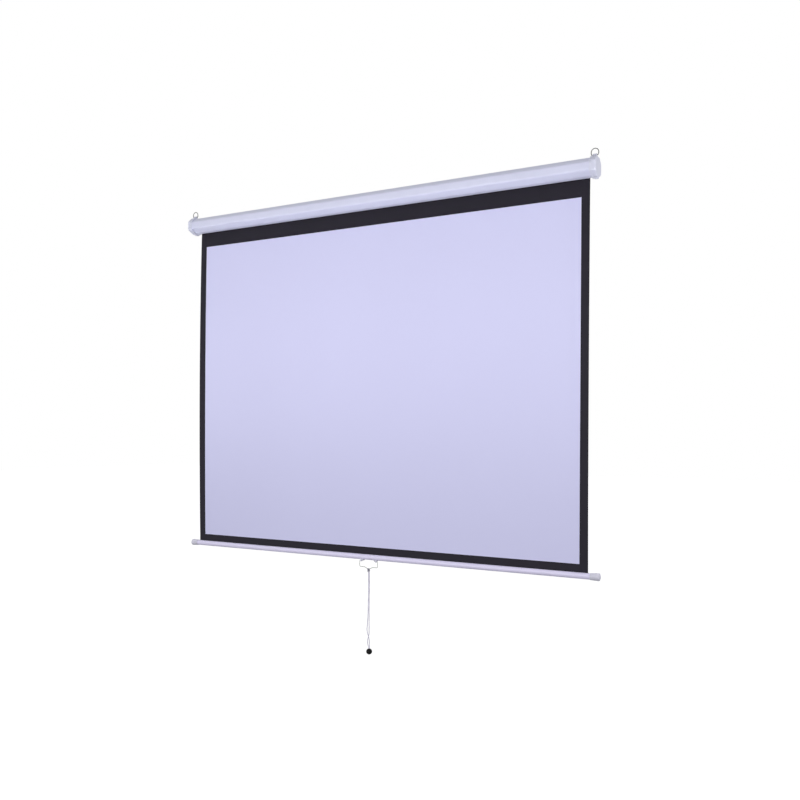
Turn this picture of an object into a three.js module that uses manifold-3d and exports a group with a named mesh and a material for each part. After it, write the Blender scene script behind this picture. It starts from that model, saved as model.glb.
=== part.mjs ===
import * as THREE from 'three';
import { mergeVertices } from 'three/addons/utils/BufferGeometryUtils.js';
import Module from 'manifold-3d';

// Manual pull-down projector screen, hung by two rings, with its fabric down.
// Millimetres. X runs along the case, -Y faces the audience, +Z is up.
// The origin lies midway between the undersides of the two ring crowns, where the hooks bear.

const wasm = await Module();
wasm.setup();

// Clearances
const seatGap = 0.3;
const overrun = 4;

// Facets
const roundSteps = 24;
const smallSteps = 12;
const cornerSteps = 3;
const arcSteps = 6;
const wireSides = 8;

// Fabric
const viewWidth = 1707;
const viewHeight = 1280;
const sideBorder = 31;
const topDrop = 61.5;
const lowerBorder = 29;
const fabricThickness = 0.5;
const facingThickness = 0.15;
const spareThickness = 0.95;

// Case tube
const caseDepth = 71;
const caseHeight = 62.8;
const caseWall = 1.2;
const caseCorner = 5;
const slotFront = 7.5;
const slotRear = 5.5;
const lipRadius = 1.3;

// Octagon flats shared by the case and its caps
const chamferDepth = 21;
const upperChamfer = 20;
const lowerChamfer = 15;
const frontUnderDepth = 29;

// End caps
const capSideProud = 2;
const capTopProud = 4.5;
const capOverlap = 15;
const capEndRoom = 5.5;
const capEndWall = 3;
const capWall = 4.4;
const capCorner = 6;
const capEdge = 5.5;
const capEdgeSteps = 2;
const rimBand = 11;
const rimStep = 0.6;
const footHeight = 1;
const footAhead = 13;
const footBehind = 2;
const footLength = 14;
const footRound = 1.2;

// Hanging rings and their lugs
const ringWire = 1.6;
const ringCrown = 13.2;
const ringLegDrop = 10;
const ringFootHalf = 8.4;
const ringFromRim = 10.5;
const ringSteps = 36;
const lugRise = 5.2;
const lugLength = 15;
const lugRadius = 4.6;
const lugBaseHalf = 8;

// Cap screws
const screwHead = 3.3;
const screwHeadDepth = 1.3;
const screwShank = 1.5;
const screwLength = 7;
const screwTip = 2;
const screwInset = 5.5;
const screwSpacing = 12;

// Bearing plates
const plateThickness = 2;
const hubWall = 2.2;
const hubLength = 11;
const tongueWidth = 6;
const tongueThickness = 3;
const bushWall = 2.2;
const bushFlangeRise = 1.9;
const bushFlangeThickness = 0.9;

// Roller
const tubeRadius = 16.2;
const tubeWall = 1;
const tubeSpare = 2.5;
const plugDepth = 20;
const plugFlangeRise = 3.8;
const plugFlangeThickness = 3;
const spindleRadius = 4;
const thrustCollarRise = 2;
const rollerPlay = 1.3;

// Spring
const springLength = 240;
const springTurns = 20;
const springRadius = 10;
const springWire = 1.1;
const coilSteps = 8;
const coilSides = 5;
const anchorRise = 2;
const anchorLength = 12;
const anchorNoseRise = 3;

// Ratchet and pawls
const ratchetRadius = 9.5;
const notchDepth = 2.5;
const ratchetThickness = 3.6;
const notchCount = 2;
const rampFrom = 10;
const floorFrom = 50;
const floorTo = 76;
const faceTo = 78;
const pawlThickness = 3.2;
const pawlClearance = 2;
const pawlHub = 3;
const pawlReach = 9.8;
const pawlDrop = 10.3;
const rivetShank = 1.4;
const rivetHead = 2.5;
const rivetHeadHeight = 1;

// Bottom bar
const barRadius = 11.1;
const barWall = 1.2;
const barSpare = 14.5;
const barSlot = 2.4;
const hemRod = 3;
const barCapOverlap = 6;
const barCapLength = 36;
const barCapWall = 1.5;
const barCapFlare = 0.8;
const barCapDome = 6;
const barCapEdge = 3;
const barCapEdgeSteps = 4;

// Pull handle and its clips
const handleSideRoom = 3.5;
const handleWire = 1.5;
const handleLeg = 24;
const handleShoulder = 16;
const handleShoulderDrop = 24.5;
const handleNeckHalf = 3.4;
const handleNeckDrop = 32.4;
const handleBend = 5;
const handleSteps = 60;
const clipFrom = 23;
const clipLength = 15;
const clipEar = 7.4;
const clipHalf = 5.2;
const clipSaddle = 2.8;
const clipEarWall = 1.7;
const pivotDrop = 1.7;
const clipLean = 0.415;
const clipRivetHead = 2.6;
const clipRivetTopShare = 0.6;
const clipRivetHeadHeight = 1.2;
const clipRivetLength = 5.4;

// Pull cord
const strandRadius = 1.5;
const strandSteps = 48;
const hitchRadius = 3.6;
const hitchSpreadShare = 0.9;
const knotRadius = 5.2;
const knotFlatShare = 0.8;
const knotDrop = 6.2;
const ballRadius = 12;
const ballSteps = 12;
const ballDrop = 326;
const ballShift = 4.8;
const ballBore = 3.8;
const ballBoreDepth = 7;
const leftRoute = [
  [-0.3, 0, -10.8], [0.6, 0, -40], [1.2, -1.2, -78], [2.2, -1.7, -106], [0.4, -1.3, -130],
  [-0.8, 0, -160], [-1.9, 0, -190], [-3.6, 0, -218], [-5.9, 0, -241], [-2.9, -1, -253],
  [1.4, -1.75, -264], [4.6, -1, -275], [5.8, 0, -290], [6.1, 0, -304], [6.4, 0, -313], [6.5, 0, -320],
];
const rightRoute = [
  [3.3, 0, -10.8], [4.2, 0, -40], [4, 1.2, -78], [2.2, 1.7, -106], [3.2, 1.3, -130],
  [3.6, 0, -160], [3.9, 0, -190], [4, 0, -218], [4.2, 0, -241], [3.4, 1, -253],
  [1.4, 1.75, -264], [-1.6, 1, -275], [-2.6, 0, -288], [-1.9, 0, -297], [0.4, 0, -305.5],
  [2.9, 0, -313], [3.1, 0, -320],
];

// Across the screen, from the fabric out to the caps
const fabricPlane = tubeRadius + seatGap + spareThickness + seatGap + fabricThickness / 2;
const fabricWidth = viewWidth + 2 * sideBorder;
const tubeHalfLength = fabricWidth / 2 + tubeSpare;
const plugFace = tubeHalfLength + seatGap + plugFlangeThickness;
const hubFace = plugFace + 4 * seatGap + pawlThickness + rivetHeadHeight + rollerPlay;
const caseHalfLength = hubFace + hubLength + plateThickness;
const capRimAt = caseHalfLength - capOverlap;
const capLength = capOverlap + capEndRoom + capEndWall;
const capOuter = capRimAt + capLength;
const ringAt = capRimAt + ringFromRim;
const barHalfLength = fabricWidth / 2 + barSpare;
const barCapFrom = barHalfLength - barCapOverlap;

// Down the screen, from the hooks to the bar
const capDepth = caseDepth + 2 * capSideProud;
const capHeight = caseHeight + 2 * capTopProud;
const lugAxis = -(ringCrown + ringLegDrop - ringWire);
const axisDrop = lugRise + capHeight / 2 - lugAxis;
const flatMiddle = (lowerChamfer - upperChamfer) / 2;
const caseBottom = -axisDrop - caseHeight / 2;
const viewTop = caseBottom - topDrop;
const viewBottom = viewTop - viewHeight;
const barAxis = viewBottom - lowerBorder - barRadius;

// Radii that fit round each other
const bushRadius = spindleRadius + seatGap + bushWall;
const hubRadius = bushRadius + seatGap + hubWall;
const pawlPivot = ratchetRadius + pawlHub + pawlClearance;
const pivotReach = barRadius + seatGap + clipSaddle + pivotDrop;
const clipEnd = clipFrom + clipLength;
const sides = { left: -1, right: 1 };

// Paints and plastics
const finish = (color, roughness, metalness) => () => new THREE.MeshStandardMaterial(
  { color, roughness, metalness },
);
const whitePaint = finish(0xd6d8e6, 0.42, 0);
const whitePlastic = finish(0xdadbe6, 0.5, 0);
const greyPlastic = finish(0xc9c9d2, 0.45, 0);
const blackCloth = finish(0x2d2a33, 0.85, 0);
const whiteCloth = finish(0xd2d2ec, 0.9, 0);
const brightSteel = finish(0x8f9096, 0.35, 1);
const darkSteel = finish(0x5f6167, 0.45, 1);
const innerPlastic = finish(0xb8b6ac, 0.6, 0);
const cordThread = finish(0xd9d6e4, 0.9, 0);
const blackGloss = finish(0x0c0c0e, 0.12, 0);

// Solids
function toSolid(geometry) {
  const bare = geometry.index ? geometry.toNonIndexed() : geometry.clone();
  for (const name of Object.keys(bare.attributes)) if (name !== 'position') bare.deleteAttribute(name);
  const welded = mergeVertices(bare, 1e-4);
  const triVerts = new Uint32Array(welded.index.array);
  const vertProperties = new Float32Array(welded.attributes.position.array);
  return new wasm.Manifold(new wasm.Mesh({ numProp: 3, vertProperties, triVerts }));
}

function toGeometry(solid) {
  const mesh = solid.getMesh();
  const geometry = new THREE.BufferGeometry();
  geometry.setAttribute('position', new THREE.BufferAttribute(mesh.vertProperties, 3));
  geometry.setIndex(new THREE.BufferAttribute(mesh.triVerts, 1));
  geometry.computeVertexNormals();
  return geometry;
}

function join(first, ...rest) {
  return toGeometry(rest.reduce((sum, geometry) => sum.add(toSolid(geometry)), toSolid(first)));
}

function cut(first, ...rest) {
  return toGeometry(rest.reduce((sum, geometry) => sum.subtract(toSolid(geometry)), toSolid(first)));
}

// A block given by its low and high corners
function block(low, high) {
  const size = high.map((value, i) => value - low[i]);
  const middle = high.map((value, i) => (value + low[i]) / 2);
  return new THREE.BoxGeometry(...size).translate(...middle);
}

// Outlines in the Y, Z plane
function octagon(depth, height) {
  const y = depth / 2;
  const z = height / 2;
  const flat = y - chamferDepth;
  const underFront = frontUnderDepth - y;
  return [
    [flat, z], [-flat, z], [-y, z - upperChamfer], [-y, lowerChamfer - z],
    [underFront, -z], [flat, -z], [y, lowerChamfer - z], [y, z - upperChamfer],
  ].map(([a, b]) => new THREE.Vector2(a, b));
}

// Moves each edge of a convex anticlockwise outline inwards
function inset(points, distance) {
  const count = points.length;
  const edges = points.map((p, i) => {
    const along = points[(i + 1) % count].clone().sub(p).normalize();
    const inward = new THREE.Vector2(-along.y, along.x);
    return { along, from: p.clone().addScaledVector(inward, distance) };
  });
  return edges.map((edge, i) => {
    const before = edges[(i + count - 1) % count];
    const gap = edge.from.clone().sub(before.from);
    const run = gap.cross(edge.along) / before.along.cross(edge.along);
    return before.from.clone().addScaledVector(before.along, run);
  });
}

// A closed outline whose corners start to turn the given run before each point, but at most half an edge
function rounded(points, run) {
  const shape = new THREE.Shape();
  points.forEach((p, i) => {
    const before = points[(i + points.length - 1) % points.length];
    const after = points[(i + 1) % points.length];
    const room = Math.min(run, p.distanceTo(before) / 2, p.distanceTo(after) / 2);
    const start = p.clone().add(before.clone().sub(p).setLength(room));
    const end = p.clone().add(after.clone().sub(p).setLength(room));
    if (i === 0) shape.moveTo(start.x, start.y);
    else shape.lineTo(start.x, start.y);
    shape.quadraticCurveTo(p.x, p.y, end.x, end.y);
  });
  shape.closePath();
  return shape;
}

// Stands a Y, Z outline on end, so that its depth runs along X
const alongX = new THREE.Matrix4().makeBasis(
  new THREE.Vector3(0, 1, 0), new THREE.Vector3(0, 0, 1), new THREE.Vector3(1, 0, 0),
);

// Extrudes a Y, Z outline between two distances from the middle, on one side of it
function rail(shape, from, to, side = 1, curveSegments = cornerSteps) {
  const geometry = new THREE.ExtrudeGeometry(shape, { depth: to - from, bevelEnabled: false, curveSegments });
  return geometry.applyMatrix4(alongX).translate(side > 0 ? from : -to, 0, 0);
}

// Turns a profile of [radius, distance from the middle] about X, on one side of the middle
function turned(profile, side = 1, steps = roundSteps) {
  const points = profile.map(([radius, reach]) => new THREE.Vector2(radius, side * reach));
  if (side < 0) points.reverse();
  return new THREE.LatheGeometry(points, steps).rotateZ(-Math.PI / 2);
}

// A sleeve: the same, closed round its own wall
const sleeve = (inner, outer, from, to, side = 1, steps = roundSteps) => turned(
  [[inner, from], [outer, from], [outer, to], [inner, to], [inner, from]], side, steps,
);

const rod = (radius, from, to, side = 1, steps = roundSteps) => turned(
  [[0, from], [radius, from], [radius, to], [0, to]], side, steps,
);

function circle(radius, y = 0, z = 0) {
  const shape = new THREE.Shape();
  shape.absarc(y, z, radius, 0, 2 * Math.PI, false);
  return shape;
}

// Nodes
const screen = new THREE.Group();

function piece(parent, name, geometry, material, place = [0, 0, 0], turn = [0, 0, 0]) {
  const mesh = new THREE.Mesh(geometry, material());
  mesh.name = name;
  mesh.position.set(...place);
  mesh.rotation.set(...turn);
  parent.add(mesh);
  return mesh;
}

function groupAt(x, y, z) {
  const group = new THREE.Group();
  group.position.set(x, y, z);
  screen.add(group);
  return group;
}

// The case and the roller share one axis
const axis = groupAt(0, 0, -axisDrop);

// Case tube: folded sheet with a slot under the fabric, its edges rolled into lips
const caseOutline = octagon(caseDepth, caseHeight);
const screwRows = [flatMiddle + screwSpacing / 2, flatMiddle - screwSpacing / 2];
const screwAt = capRimAt + screwInset;

function wallHoles(radius, reach) {
  return Object.values(sides).flatMap((side) => screwRows.map((z) => new THREE.CylinderGeometry(
    radius, radius, reach, smallSteps,
  ).translate(side * screwAt, caseDepth / 2, z)));
}

function makeCaseTube() {
  const shell = rounded(caseOutline, caseCorner);
  shell.holes.push(rounded(inset(caseOutline, caseWall), caseCorner));
  const tube = rail(shell, -caseHalfLength, caseHalfLength);
  const slot = block(
    [-caseHalfLength - overrun, fabricPlane - slotFront, -caseHeight / 2 - overrun],
    [caseHalfLength + overrun, fabricPlane + slotRear, 0],
  );
  const open = cut(tube, slot, ...wallHoles(screwShank + seatGap, screwLength));
  const chamferSlope = lowerChamfer / chamferDepth;
  const rearLipZ = caseWall / 2 - caseHeight / 2
    + (fabricPlane + slotRear - (caseDepth / 2 - chamferDepth)) * chamferSlope;
  const lipHalf = capRimAt - seatGap;
  const lips = [
    circle(lipRadius, fabricPlane - slotFront, (caseWall - caseHeight) / 2),
    circle(lipRadius, fabricPlane + slotRear, rearLipZ),
  ].map((shape) => rail(shape, -lipHalf, lipHalf, 1, arcSteps));
  return join(open, ...lips);
}

// End cap: a moulded cup over the tube, with a rim band, a rounded end, a ring lug and a rest foot
const capOutline = octagon(capDepth, capHeight);
const lugTop = lugAxis + axisDrop;

function lugShape() {
  const shape = new THREE.Shape();
  const base = capHeight / 2 - capWall / 2;
  shape.moveTo(lugBaseHalf, base);
  shape.lineTo(lugRadius, lugTop);
  shape.absarc(0, lugTop, lugRadius, 0, Math.PI, false);
  shape.lineTo(-lugBaseHalf, base);
  shape.closePath();
  return shape;
}

function footShape() {
  const low = -capHeight / 2 - footHeight;
  const high = -capHeight / 2 + capWall / 2;
  const front = fabricPlane - footAhead;
  const rear = fabricPlane + footBehind;
  const corners = [[rear, high], [front, high], [front, low], [rear, low]];
  return rounded(corners.map(([y, z]) => new THREE.Vector2(y, z)), footRound);
}

function makeEndCap(side) {
  const body = new THREE.ExtrudeGeometry(rounded(inset(capOutline, rimStep), capCorner), {
    depth: capLength, bevelThickness: capEdge, bevelSize: capEdge, bevelOffset: -capEdge,
    bevelSegments: capEdgeSteps, curveSegments: cornerSteps,
  }).applyMatrix4(alongX);
  body.translate(side > 0 ? capOuter - capEdge - capLength : -capOuter + capEdge, 0, 0);
  const behindRim = side > 0
    ? block([0, -capDepth, -capHeight], [capRimAt, capDepth, capHeight])
    : block([-capRimAt, -capDepth, -capHeight], [0, capDepth, capHeight]);
  const band = rail(rounded(capOutline, capCorner), capRimAt, capRimAt + rimBand, side);
  const lug = rail(lugShape(), ringAt - lugLength / 2, ringAt + lugLength / 2, side, smallSteps);
  const footFrom = capRimAt + capEdge;
  const foot = rail(footShape(), footFrom, footFrom + footLength, side);
  const tubeSocket = rail(
    rounded(inset(caseOutline, -seatGap), caseCorner), capRimAt - overrun, caseHalfLength, side,
  );
  const endHollow = rail(
    rounded(inset(capOutline, capWall), capCorner), caseHalfLength - overrun, capOuter - capEndWall, side,
  );
  const bore = rod(ringWire + seatGap, ringAt - lugLength, ringAt + lugLength, side, smallSteps)
    .translate(0, 0, lugTop);
  const sinkDepth = screwHeadDepth + seatGap;
  const sinks = screwRows.map((z) => new THREE.CylinderGeometry(
    screwHead + 2 * seatGap, screwShank + 2 * seatGap, sinkDepth, smallSteps,
  ).translate(side * screwAt, (capDepth - sinkDepth) / 2 + seatGap / 4, z));
  const holes = screwRows.map((z) => new THREE.CylinderGeometry(
    screwShank + seatGap, screwShank + seatGap, capWall, smallSteps,
  ).translate(side * screwAt, capDepth / 2 - capWall / 2, z));
  return cut(join(cut(body, behindRim), band, lug, foot), tubeSocket, endHollow, bore, ...sinks, ...holes);
}

// Countersunk self-tapping screw, head up at its own origin
function makeCapScrew() {
  const profile = [
    [0, -screwLength], [screwShank, screwTip - screwLength], [screwShank, -screwHeadDepth],
    [screwHead, 0], [0, 0],
  ].map(([radius, y]) => new THREE.Vector2(radius, y));
  const slotWidth = screwHeadDepth / 2;
  const slot = block([-screwHead, -slotWidth, -slotWidth / 2], [screwHead, slotWidth, slotWidth / 2]);
  return cut(new THREE.LatheGeometry(profile, smallSteps), slot);
}

// Bearing plate: fits inside the tube against the cap's shelf, with a hub towards the roller
function makeBearingPlate(side, socket) {
  const outline = rounded(inset(caseOutline, caseWall + seatGap), caseCorner);
  const plate = rail(outline, caseHalfLength - plateThickness, caseHalfLength, side);
  const relief = block(
    [-caseHalfLength - overrun, fabricPlane - slotFront - lipRadius - overrun, -caseHeight],
    [caseHalfLength + overrun, fabricPlane + slotRear + lipRadius + overrun, (lowerChamfer - caseHeight) / 2],
  );
  const hub = rod(hubRadius, hubFace, caseHalfLength - plateThickness / 2, side);
  return cut(join(plate, hub), relief, socket);
}

piece(axis, 'case_tube', makeCaseTube(), whitePaint);
for (const [name, side] of Object.entries(sides)) {
  piece(axis, `${name}_end_cap`, makeEndCap(side), whitePlastic);
  screwRows.forEach((z, i) => piece(
    axis, `${name}_cap_screw_${['upper', 'lower'][i]}`, makeCapScrew(), brightSteel,
    [side * screwAt, capDepth / 2 - seatGap / 2, z],
  ));
}

const tongueSocket = block(
  [-caseHalfLength - overrun, -tongueThickness / 2 - seatGap, -tongueWidth / 2 - seatGap],
  [-hubFace + overrun, tongueThickness / 2 + seatGap, tongueWidth / 2 + seatGap],
);
const bushSocket = rod(bushRadius + seatGap, hubFace - overrun, caseHalfLength + overrun);
piece(axis, 'spring_bearing_plate', makeBearingPlate(sides.left, tongueSocket), darkSteel);
piece(axis, 'idle_bearing_plate', makeBearingPlate(sides.right, bushSocket), darkSteel);

const bushFlange = bushRadius + bushFlangeRise;
const bushFlangeFrom = hubFace - seatGap - bushFlangeThickness;
piece(axis, 'idle_bush', turned([
  [spindleRadius + seatGap, bushFlangeFrom], [bushFlange, bushFlangeFrom], [bushFlange, hubFace - seatGap],
  [bushRadius, hubFace - seatGap], [bushRadius, caseHalfLength - plateThickness],
  [spindleRadius + seatGap, caseHalfLength - plateThickness], [spindleRadius + seatGap, bushFlangeFrom],
]), innerPlastic);

// Spring spindle: a fixed rod whose flat tongue is held in the left plate
const springOuter = tubeHalfLength - plugDepth - seatGap;
const springInner = springOuter - springLength;
const anchorFrom = springInner - seatGap - anchorLength;
const anchorRadius = springRadius + anchorRise;
const anchorNoseRadius = spindleRadius + anchorNoseRise;
const spindleEnd = hubFace - seatGap;

function makeSpindle() {
  const shaft = rod(spindleRadius, anchorFrom - anchorNoseRadius, spindleEnd, sides.left);
  const tongue = block(
    [-caseHalfLength + plateThickness, -tongueThickness / 2, -tongueWidth / 2],
    [-spindleEnd + overrun, tongueThickness / 2, tongueWidth / 2],
  );
  return join(shaft, tongue);
}

piece(axis, 'spring_spindle', makeSpindle(), darkSteel);
piece(axis, 'spring_anchor', turned([
  [spindleRadius + seatGap, anchorFrom], [anchorNoseRadius, anchorFrom],
  [anchorRadius, anchorFrom + anchorLength / 2], [anchorRadius, anchorFrom + anchorLength],
  [spindleRadius + seatGap, anchorFrom + anchorLength], [spindleRadius + seatGap, anchorFrom],
], sides.left), innerPlastic);

// Torsion spring: one wire wound from the anchor out to the roller's end plug
class Coil extends THREE.Curve {
  getPoint(t, target = new THREE.Vector3()) {
    const angle = 2 * Math.PI * springTurns * t;
    const reach = springInner + springWire + (springLength - 2 * springWire) * t;
    return target.set(-reach, springRadius * Math.cos(angle), springRadius * Math.sin(angle));
  }
}

function makeCoil() {
  const curve = new Coil();
  const count = springTurns * coilSteps;
  const position = [];
  for (let i = 0; i <= count; i += 1) {
    const centre = curve.getPoint(i / count);
    const out = new THREE.Vector3(0, centre.y, centre.z).normalize();
    for (let j = 0; j < coilSides; j += 1) {
      const turn = (2 * Math.PI * j) / coilSides;
      position.push(
        centre.x + springWire * Math.cos(turn),
        centre.y + out.y * springWire * Math.sin(turn),
        centre.z + out.z * springWire * Math.sin(turn),
      );
    }
  }
  const index = [];
  for (let i = 0; i < count; i += 1) {
    for (let j = 0; j < coilSides; j += 1) {
      const a = i * coilSides + j;
      const b = i * coilSides + ((j + 1) % coilSides);
      index.push(a, b, b + coilSides, a, b + coilSides, a + coilSides);
    }
  }
  for (let j = 1; j < coilSides - 1; j += 1) {
    const last = count * coilSides;
    index.push(0, j + 1, j, last, last + j, last + j + 1);
  }
  const geometry = new THREE.BufferGeometry();
  geometry.setAttribute('position', new THREE.Float32BufferAttribute(position, 3));
  geometry.setIndex(index);
  return geometry;
}

piece(axis, 'torsion_spring', makeCoil(), brightSteel);
const turnGap = springLength / springTurns - 2 * springWire;
console.log('spring: least gap between turns', turnGap.toFixed(2), 'mm');

// Ratchet disc on the spindle: two notches, each with a steep face and a ramp
function makeRatchet() {
  const shape = new THREE.Shape();
  const step = (2 * Math.PI) / notchCount;
  const floorRadius = ratchetRadius - notchDepth;
  const corners = [
    [rampFrom, ratchetRadius], [floorFrom, floorRadius], [floorTo, floorRadius], [faceTo, ratchetRadius],
  ];
  for (let n = 0; n < notchCount; n += 1) {
    const turned = (degrees) => n * step + THREE.MathUtils.degToRad(degrees);
    corners.forEach(([degrees, radius], i) => {
      const point = [radius * Math.cos(turned(degrees)), radius * Math.sin(turned(degrees))];
      if (n === 0 && i === 0) shape.moveTo(...point);
      else shape.lineTo(...point);
    });
    shape.absarc(0, 0, ratchetRadius, turned(faceTo), turned(rampFrom) + step, false);
  }
  shape.holes.push(circle(spindleRadius + seatGap));
  const from = plugFace + 2 * seatGap;
  return rail(shape, from, from + ratchetThickness, sides.left, smallSteps);
}

// Pawl: hub on its rivet and a hooked arm that points the way the spring winds the roller
const pawlOutlineShares = [
  [0.31, -0.2], [0.71, -0.44], [0.85, -0.77], [1, -1], [1.12, -0.44], [0.92, -0.05], [0.15, 0.24],
];

function makePawl() {
  const shape = new THREE.Shape();
  pawlOutlineShares.forEach(([u, v], i) => {
    const point = [-pawlReach * u, pawlDrop * v];
    if (i === 0) shape.moveTo(...point);
    else shape.lineTo(...point);
  });
  shape.closePath();
  const from = plugFace + 3 * seatGap;
  const arm = rail(shape, from, from + pawlThickness, sides.left);
  const hub = rail(circle(pawlHub), from, from + pawlThickness, sides.left, smallSteps);
  const hole = rod(rivetShank + seatGap, from - overrun, from + 2 * overrun, sides.left, smallSteps);
  return cut(join(arm, hub), hole);
}

piece(axis, 'ratchet_disc', makeRatchet(), darkSteel);

// Roller
const tubeInner = tubeRadius - tubeWall;
const plugFrom = tubeHalfLength - plugDepth;
const flangeFrom = tubeHalfLength + seatGap;
const plugFlange = tubeRadius + plugFlangeRise;
const thrustCollar = spindleRadius + thrustCollarRise;
const pinEnd = caseHalfLength - plateThickness;

piece(axis, 'roller_tube', sleeve(tubeInner, tubeRadius, -tubeHalfLength, tubeHalfLength), brightSteel);
piece(axis, 'fabric_roll', sleeve(
  tubeRadius + seatGap, tubeRadius + seatGap + spareThickness, -fabricWidth / 2, fabricWidth / 2,
), blackCloth);
piece(axis, 'spring_end_plug', turned([
  [spindleRadius + seatGap, plugFrom], [tubeInner - seatGap, plugFrom], [tubeInner - seatGap, flangeFrom],
  [plugFlange, flangeFrom], [plugFlange, plugFace], [spindleRadius + seatGap, plugFace],
  [spindleRadius + seatGap, plugFrom],
], sides.left), innerPlastic);
piece(axis, 'idle_end_plug', turned([
  [0, plugFrom], [tubeInner - seatGap, plugFrom], [tubeInner - seatGap, flangeFrom], [plugFlange, flangeFrom],
  [plugFlange, plugFace], [thrustCollar, plugFace], [thrustCollar, bushFlangeFrom - seatGap],
  [spindleRadius, bushFlangeFrom - seatGap], [spindleRadius, pinEnd], [0, pinEnd],
]), innerPlastic);

['rear', 'front'].forEach((name, i) => {
  const turn = i * Math.PI;
  const hinge = new THREE.Group();
  hinge.rotation.x = turn;
  axis.add(hinge);
  piece(hinge, `${name}_pawl`, makePawl(), brightSteel, [0, pawlPivot, 0], [-Math.PI / 2, 0, 0]);
  const headFrom = plugFace + 4 * seatGap + pawlThickness;
  piece(hinge, `${name}_pawl_rivet`, turned([
    [0, plugFace], [rivetShank, plugFace], [rivetShank, headFrom], [rivetHead, headFrom],
    [rivetHead / 2, headFrom + rivetHeadHeight], [0, headFrom + rivetHeadHeight],
  ], sides.left, smallSteps), brightSteel, [0, pawlPivot, 0]);
});

// Hanging fabric: it leaves the roll at the wall side and runs straight down to the bar
const facingFront = fabricPlane - fabricThickness / 2 - facingThickness;
const sheetBack = fabricPlane + fabricThickness / 2;
const sheetFront = fabricPlane - fabricThickness / 2;
const rodRadial = barRadius - barWall - hemRod - seatGap;
piece(screen, 'screen_fabric', block(
  [-fabricWidth / 2, sheetFront, viewBottom], [fabricWidth / 2, sheetBack, -axisDrop],
), blackCloth);
piece(screen, 'white_facing', block(
  [-viewWidth / 2, facingFront, viewBottom], [viewWidth / 2, sheetFront, viewTop],
), whiteCloth);
piece(screen, 'lower_border', block(
  [-fabricWidth / 2, sheetFront, barAxis + rodRadial + hemRod + seatGap],
  [fabricWidth / 2, sheetBack, viewBottom],
), blackCloth);

// Bottom bar
const bar = groupAt(0, fabricPlane, barAxis);
const clipRivetAt = clipFrom + (clipLength - clipEar) / 2;

function makeBarTube() {
  const tube = sleeve(barRadius - barWall, barRadius, -barHalfLength, barHalfLength);
  const slot = block(
    [-barHalfLength - overrun, -barSlot / 2, 0], [barHalfLength + overrun, barSlot / 2, barRadius + overrun],
  );
  const rivetHoles = Object.values(sides).map((side) => new THREE.CylinderGeometry(
    screwShank + seatGap, screwShank + seatGap, barRadius, smallSteps,
  ).rotateX(Math.PI / 2).translate(side * clipRivetAt, 0, -barRadius).rotateX(-clipLean));
  return cut(tube, slot, ...rivetHoles);
}

// Bar cap: a flared cup over the bar's end, with a rounded edge and a shallow dome
function makeBarCap(side) {
  const end = barCapFrom + barCapLength;
  const edgeFrom = end - barCapDome / 2 - barCapEdge;
  const mouth = barRadius + seatGap;
  const rim = mouth + barCapWall;
  const widest = rim + barCapFlare;
  const edge = [];
  for (let i = 0; i <= barCapEdgeSteps; i += 1) {
    const turn = (i / barCapEdgeSteps) * (Math.PI / 2);
    edge.push([widest - barCapEdge * (1 - Math.cos(turn)), edgeFrom + barCapEdge * Math.sin(turn)]);
  }
  return turned([
    [mouth, barCapFrom], [rim, barCapFrom], [rim, barCapFrom + barCapEdge / 2],
    [rim + seatGap, barCapFrom + barCapEdge], ...edge, [0, end],
    [0, barHalfLength + seatGap], [mouth, barHalfLength + seatGap], [mouth, barCapFrom],
  ], side);
}

piece(bar, 'bar_tube', makeBarTube(), whitePaint);
const hemRodSolid = rod(hemRod, -barHalfLength, barHalfLength, 1, smallSteps);
piece(bar, 'hem_rod', hemRodSolid, innerPlastic, [0, 0, rodRadial]);
for (const [name, side] of Object.entries(sides)) {
  piece(bar, `${name}_bar_cap`, makeBarCap(side), greyPlastic);
}

// Handle clips: saddles under the bar, leaning forward, each with an ear for the wire's end
const clips = new THREE.Group();
clips.rotation.x = -clipLean;
bar.add(clips);
const saddleLow = -barRadius - seatGap - clipSaddle;
const earRadius = handleWire + seatGap + clipEarWall;
const boreFrom = clipEnd - clipEar + clipEarWall;

function makeClip(side) {
  const saddle = rail(rounded([
    [clipHalf, -barRadius / 2], [-clipHalf, -barRadius / 2], [-clipHalf, saddleLow], [clipHalf, saddleLow],
  ].map(([y, z]) => new THREE.Vector2(y, z)), clipSaddle / 2), clipFrom, clipEnd, side);
  const ear = rail(circle(earRadius, 0, -pivotReach), clipEnd - clipEar, clipEnd, side, smallSteps);
  const neck = rail(
    rounded([
      [earRadius, saddleLow + clipSaddle / 2], [-earRadius, saddleLow + clipSaddle / 2],
      [-earRadius, -pivotReach], [earRadius, -pivotReach],
    ].map(([y, z]) => new THREE.Vector2(y, z)), handleWire / 2), clipEnd - clipEar, clipEnd, side,
  );
  const barRoom = rod(barRadius + seatGap, 0, clipEnd + overrun, side);
  const bore = rod(handleWire + seatGap, boreFrom, clipEnd + overrun, side, smallSteps)
    .translate(0, 0, -pivotReach);
  const rivetHole = new THREE.CylinderGeometry(
    screwShank + seatGap, screwShank + seatGap, 2 * barRadius, smallSteps,
  ).rotateX(Math.PI / 2).translate(side * clipRivetAt, 0, -barRadius);
  return cut(join(saddle, ear, neck), barRoom, bore, rivetHole);
}

function makeClipRivet() {
  const profile = [
    [0, -clipRivetHeadHeight], [clipRivetHead * clipRivetTopShare, -clipRivetHeadHeight], [clipRivetHead, 0],
    [screwShank, 0], [screwShank, clipRivetLength], [0, clipRivetLength],
  ].map(([radius, y]) => new THREE.Vector2(radius, y));
  return new THREE.LatheGeometry(profile, smallSteps).rotateX(Math.PI / 2);
}

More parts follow.
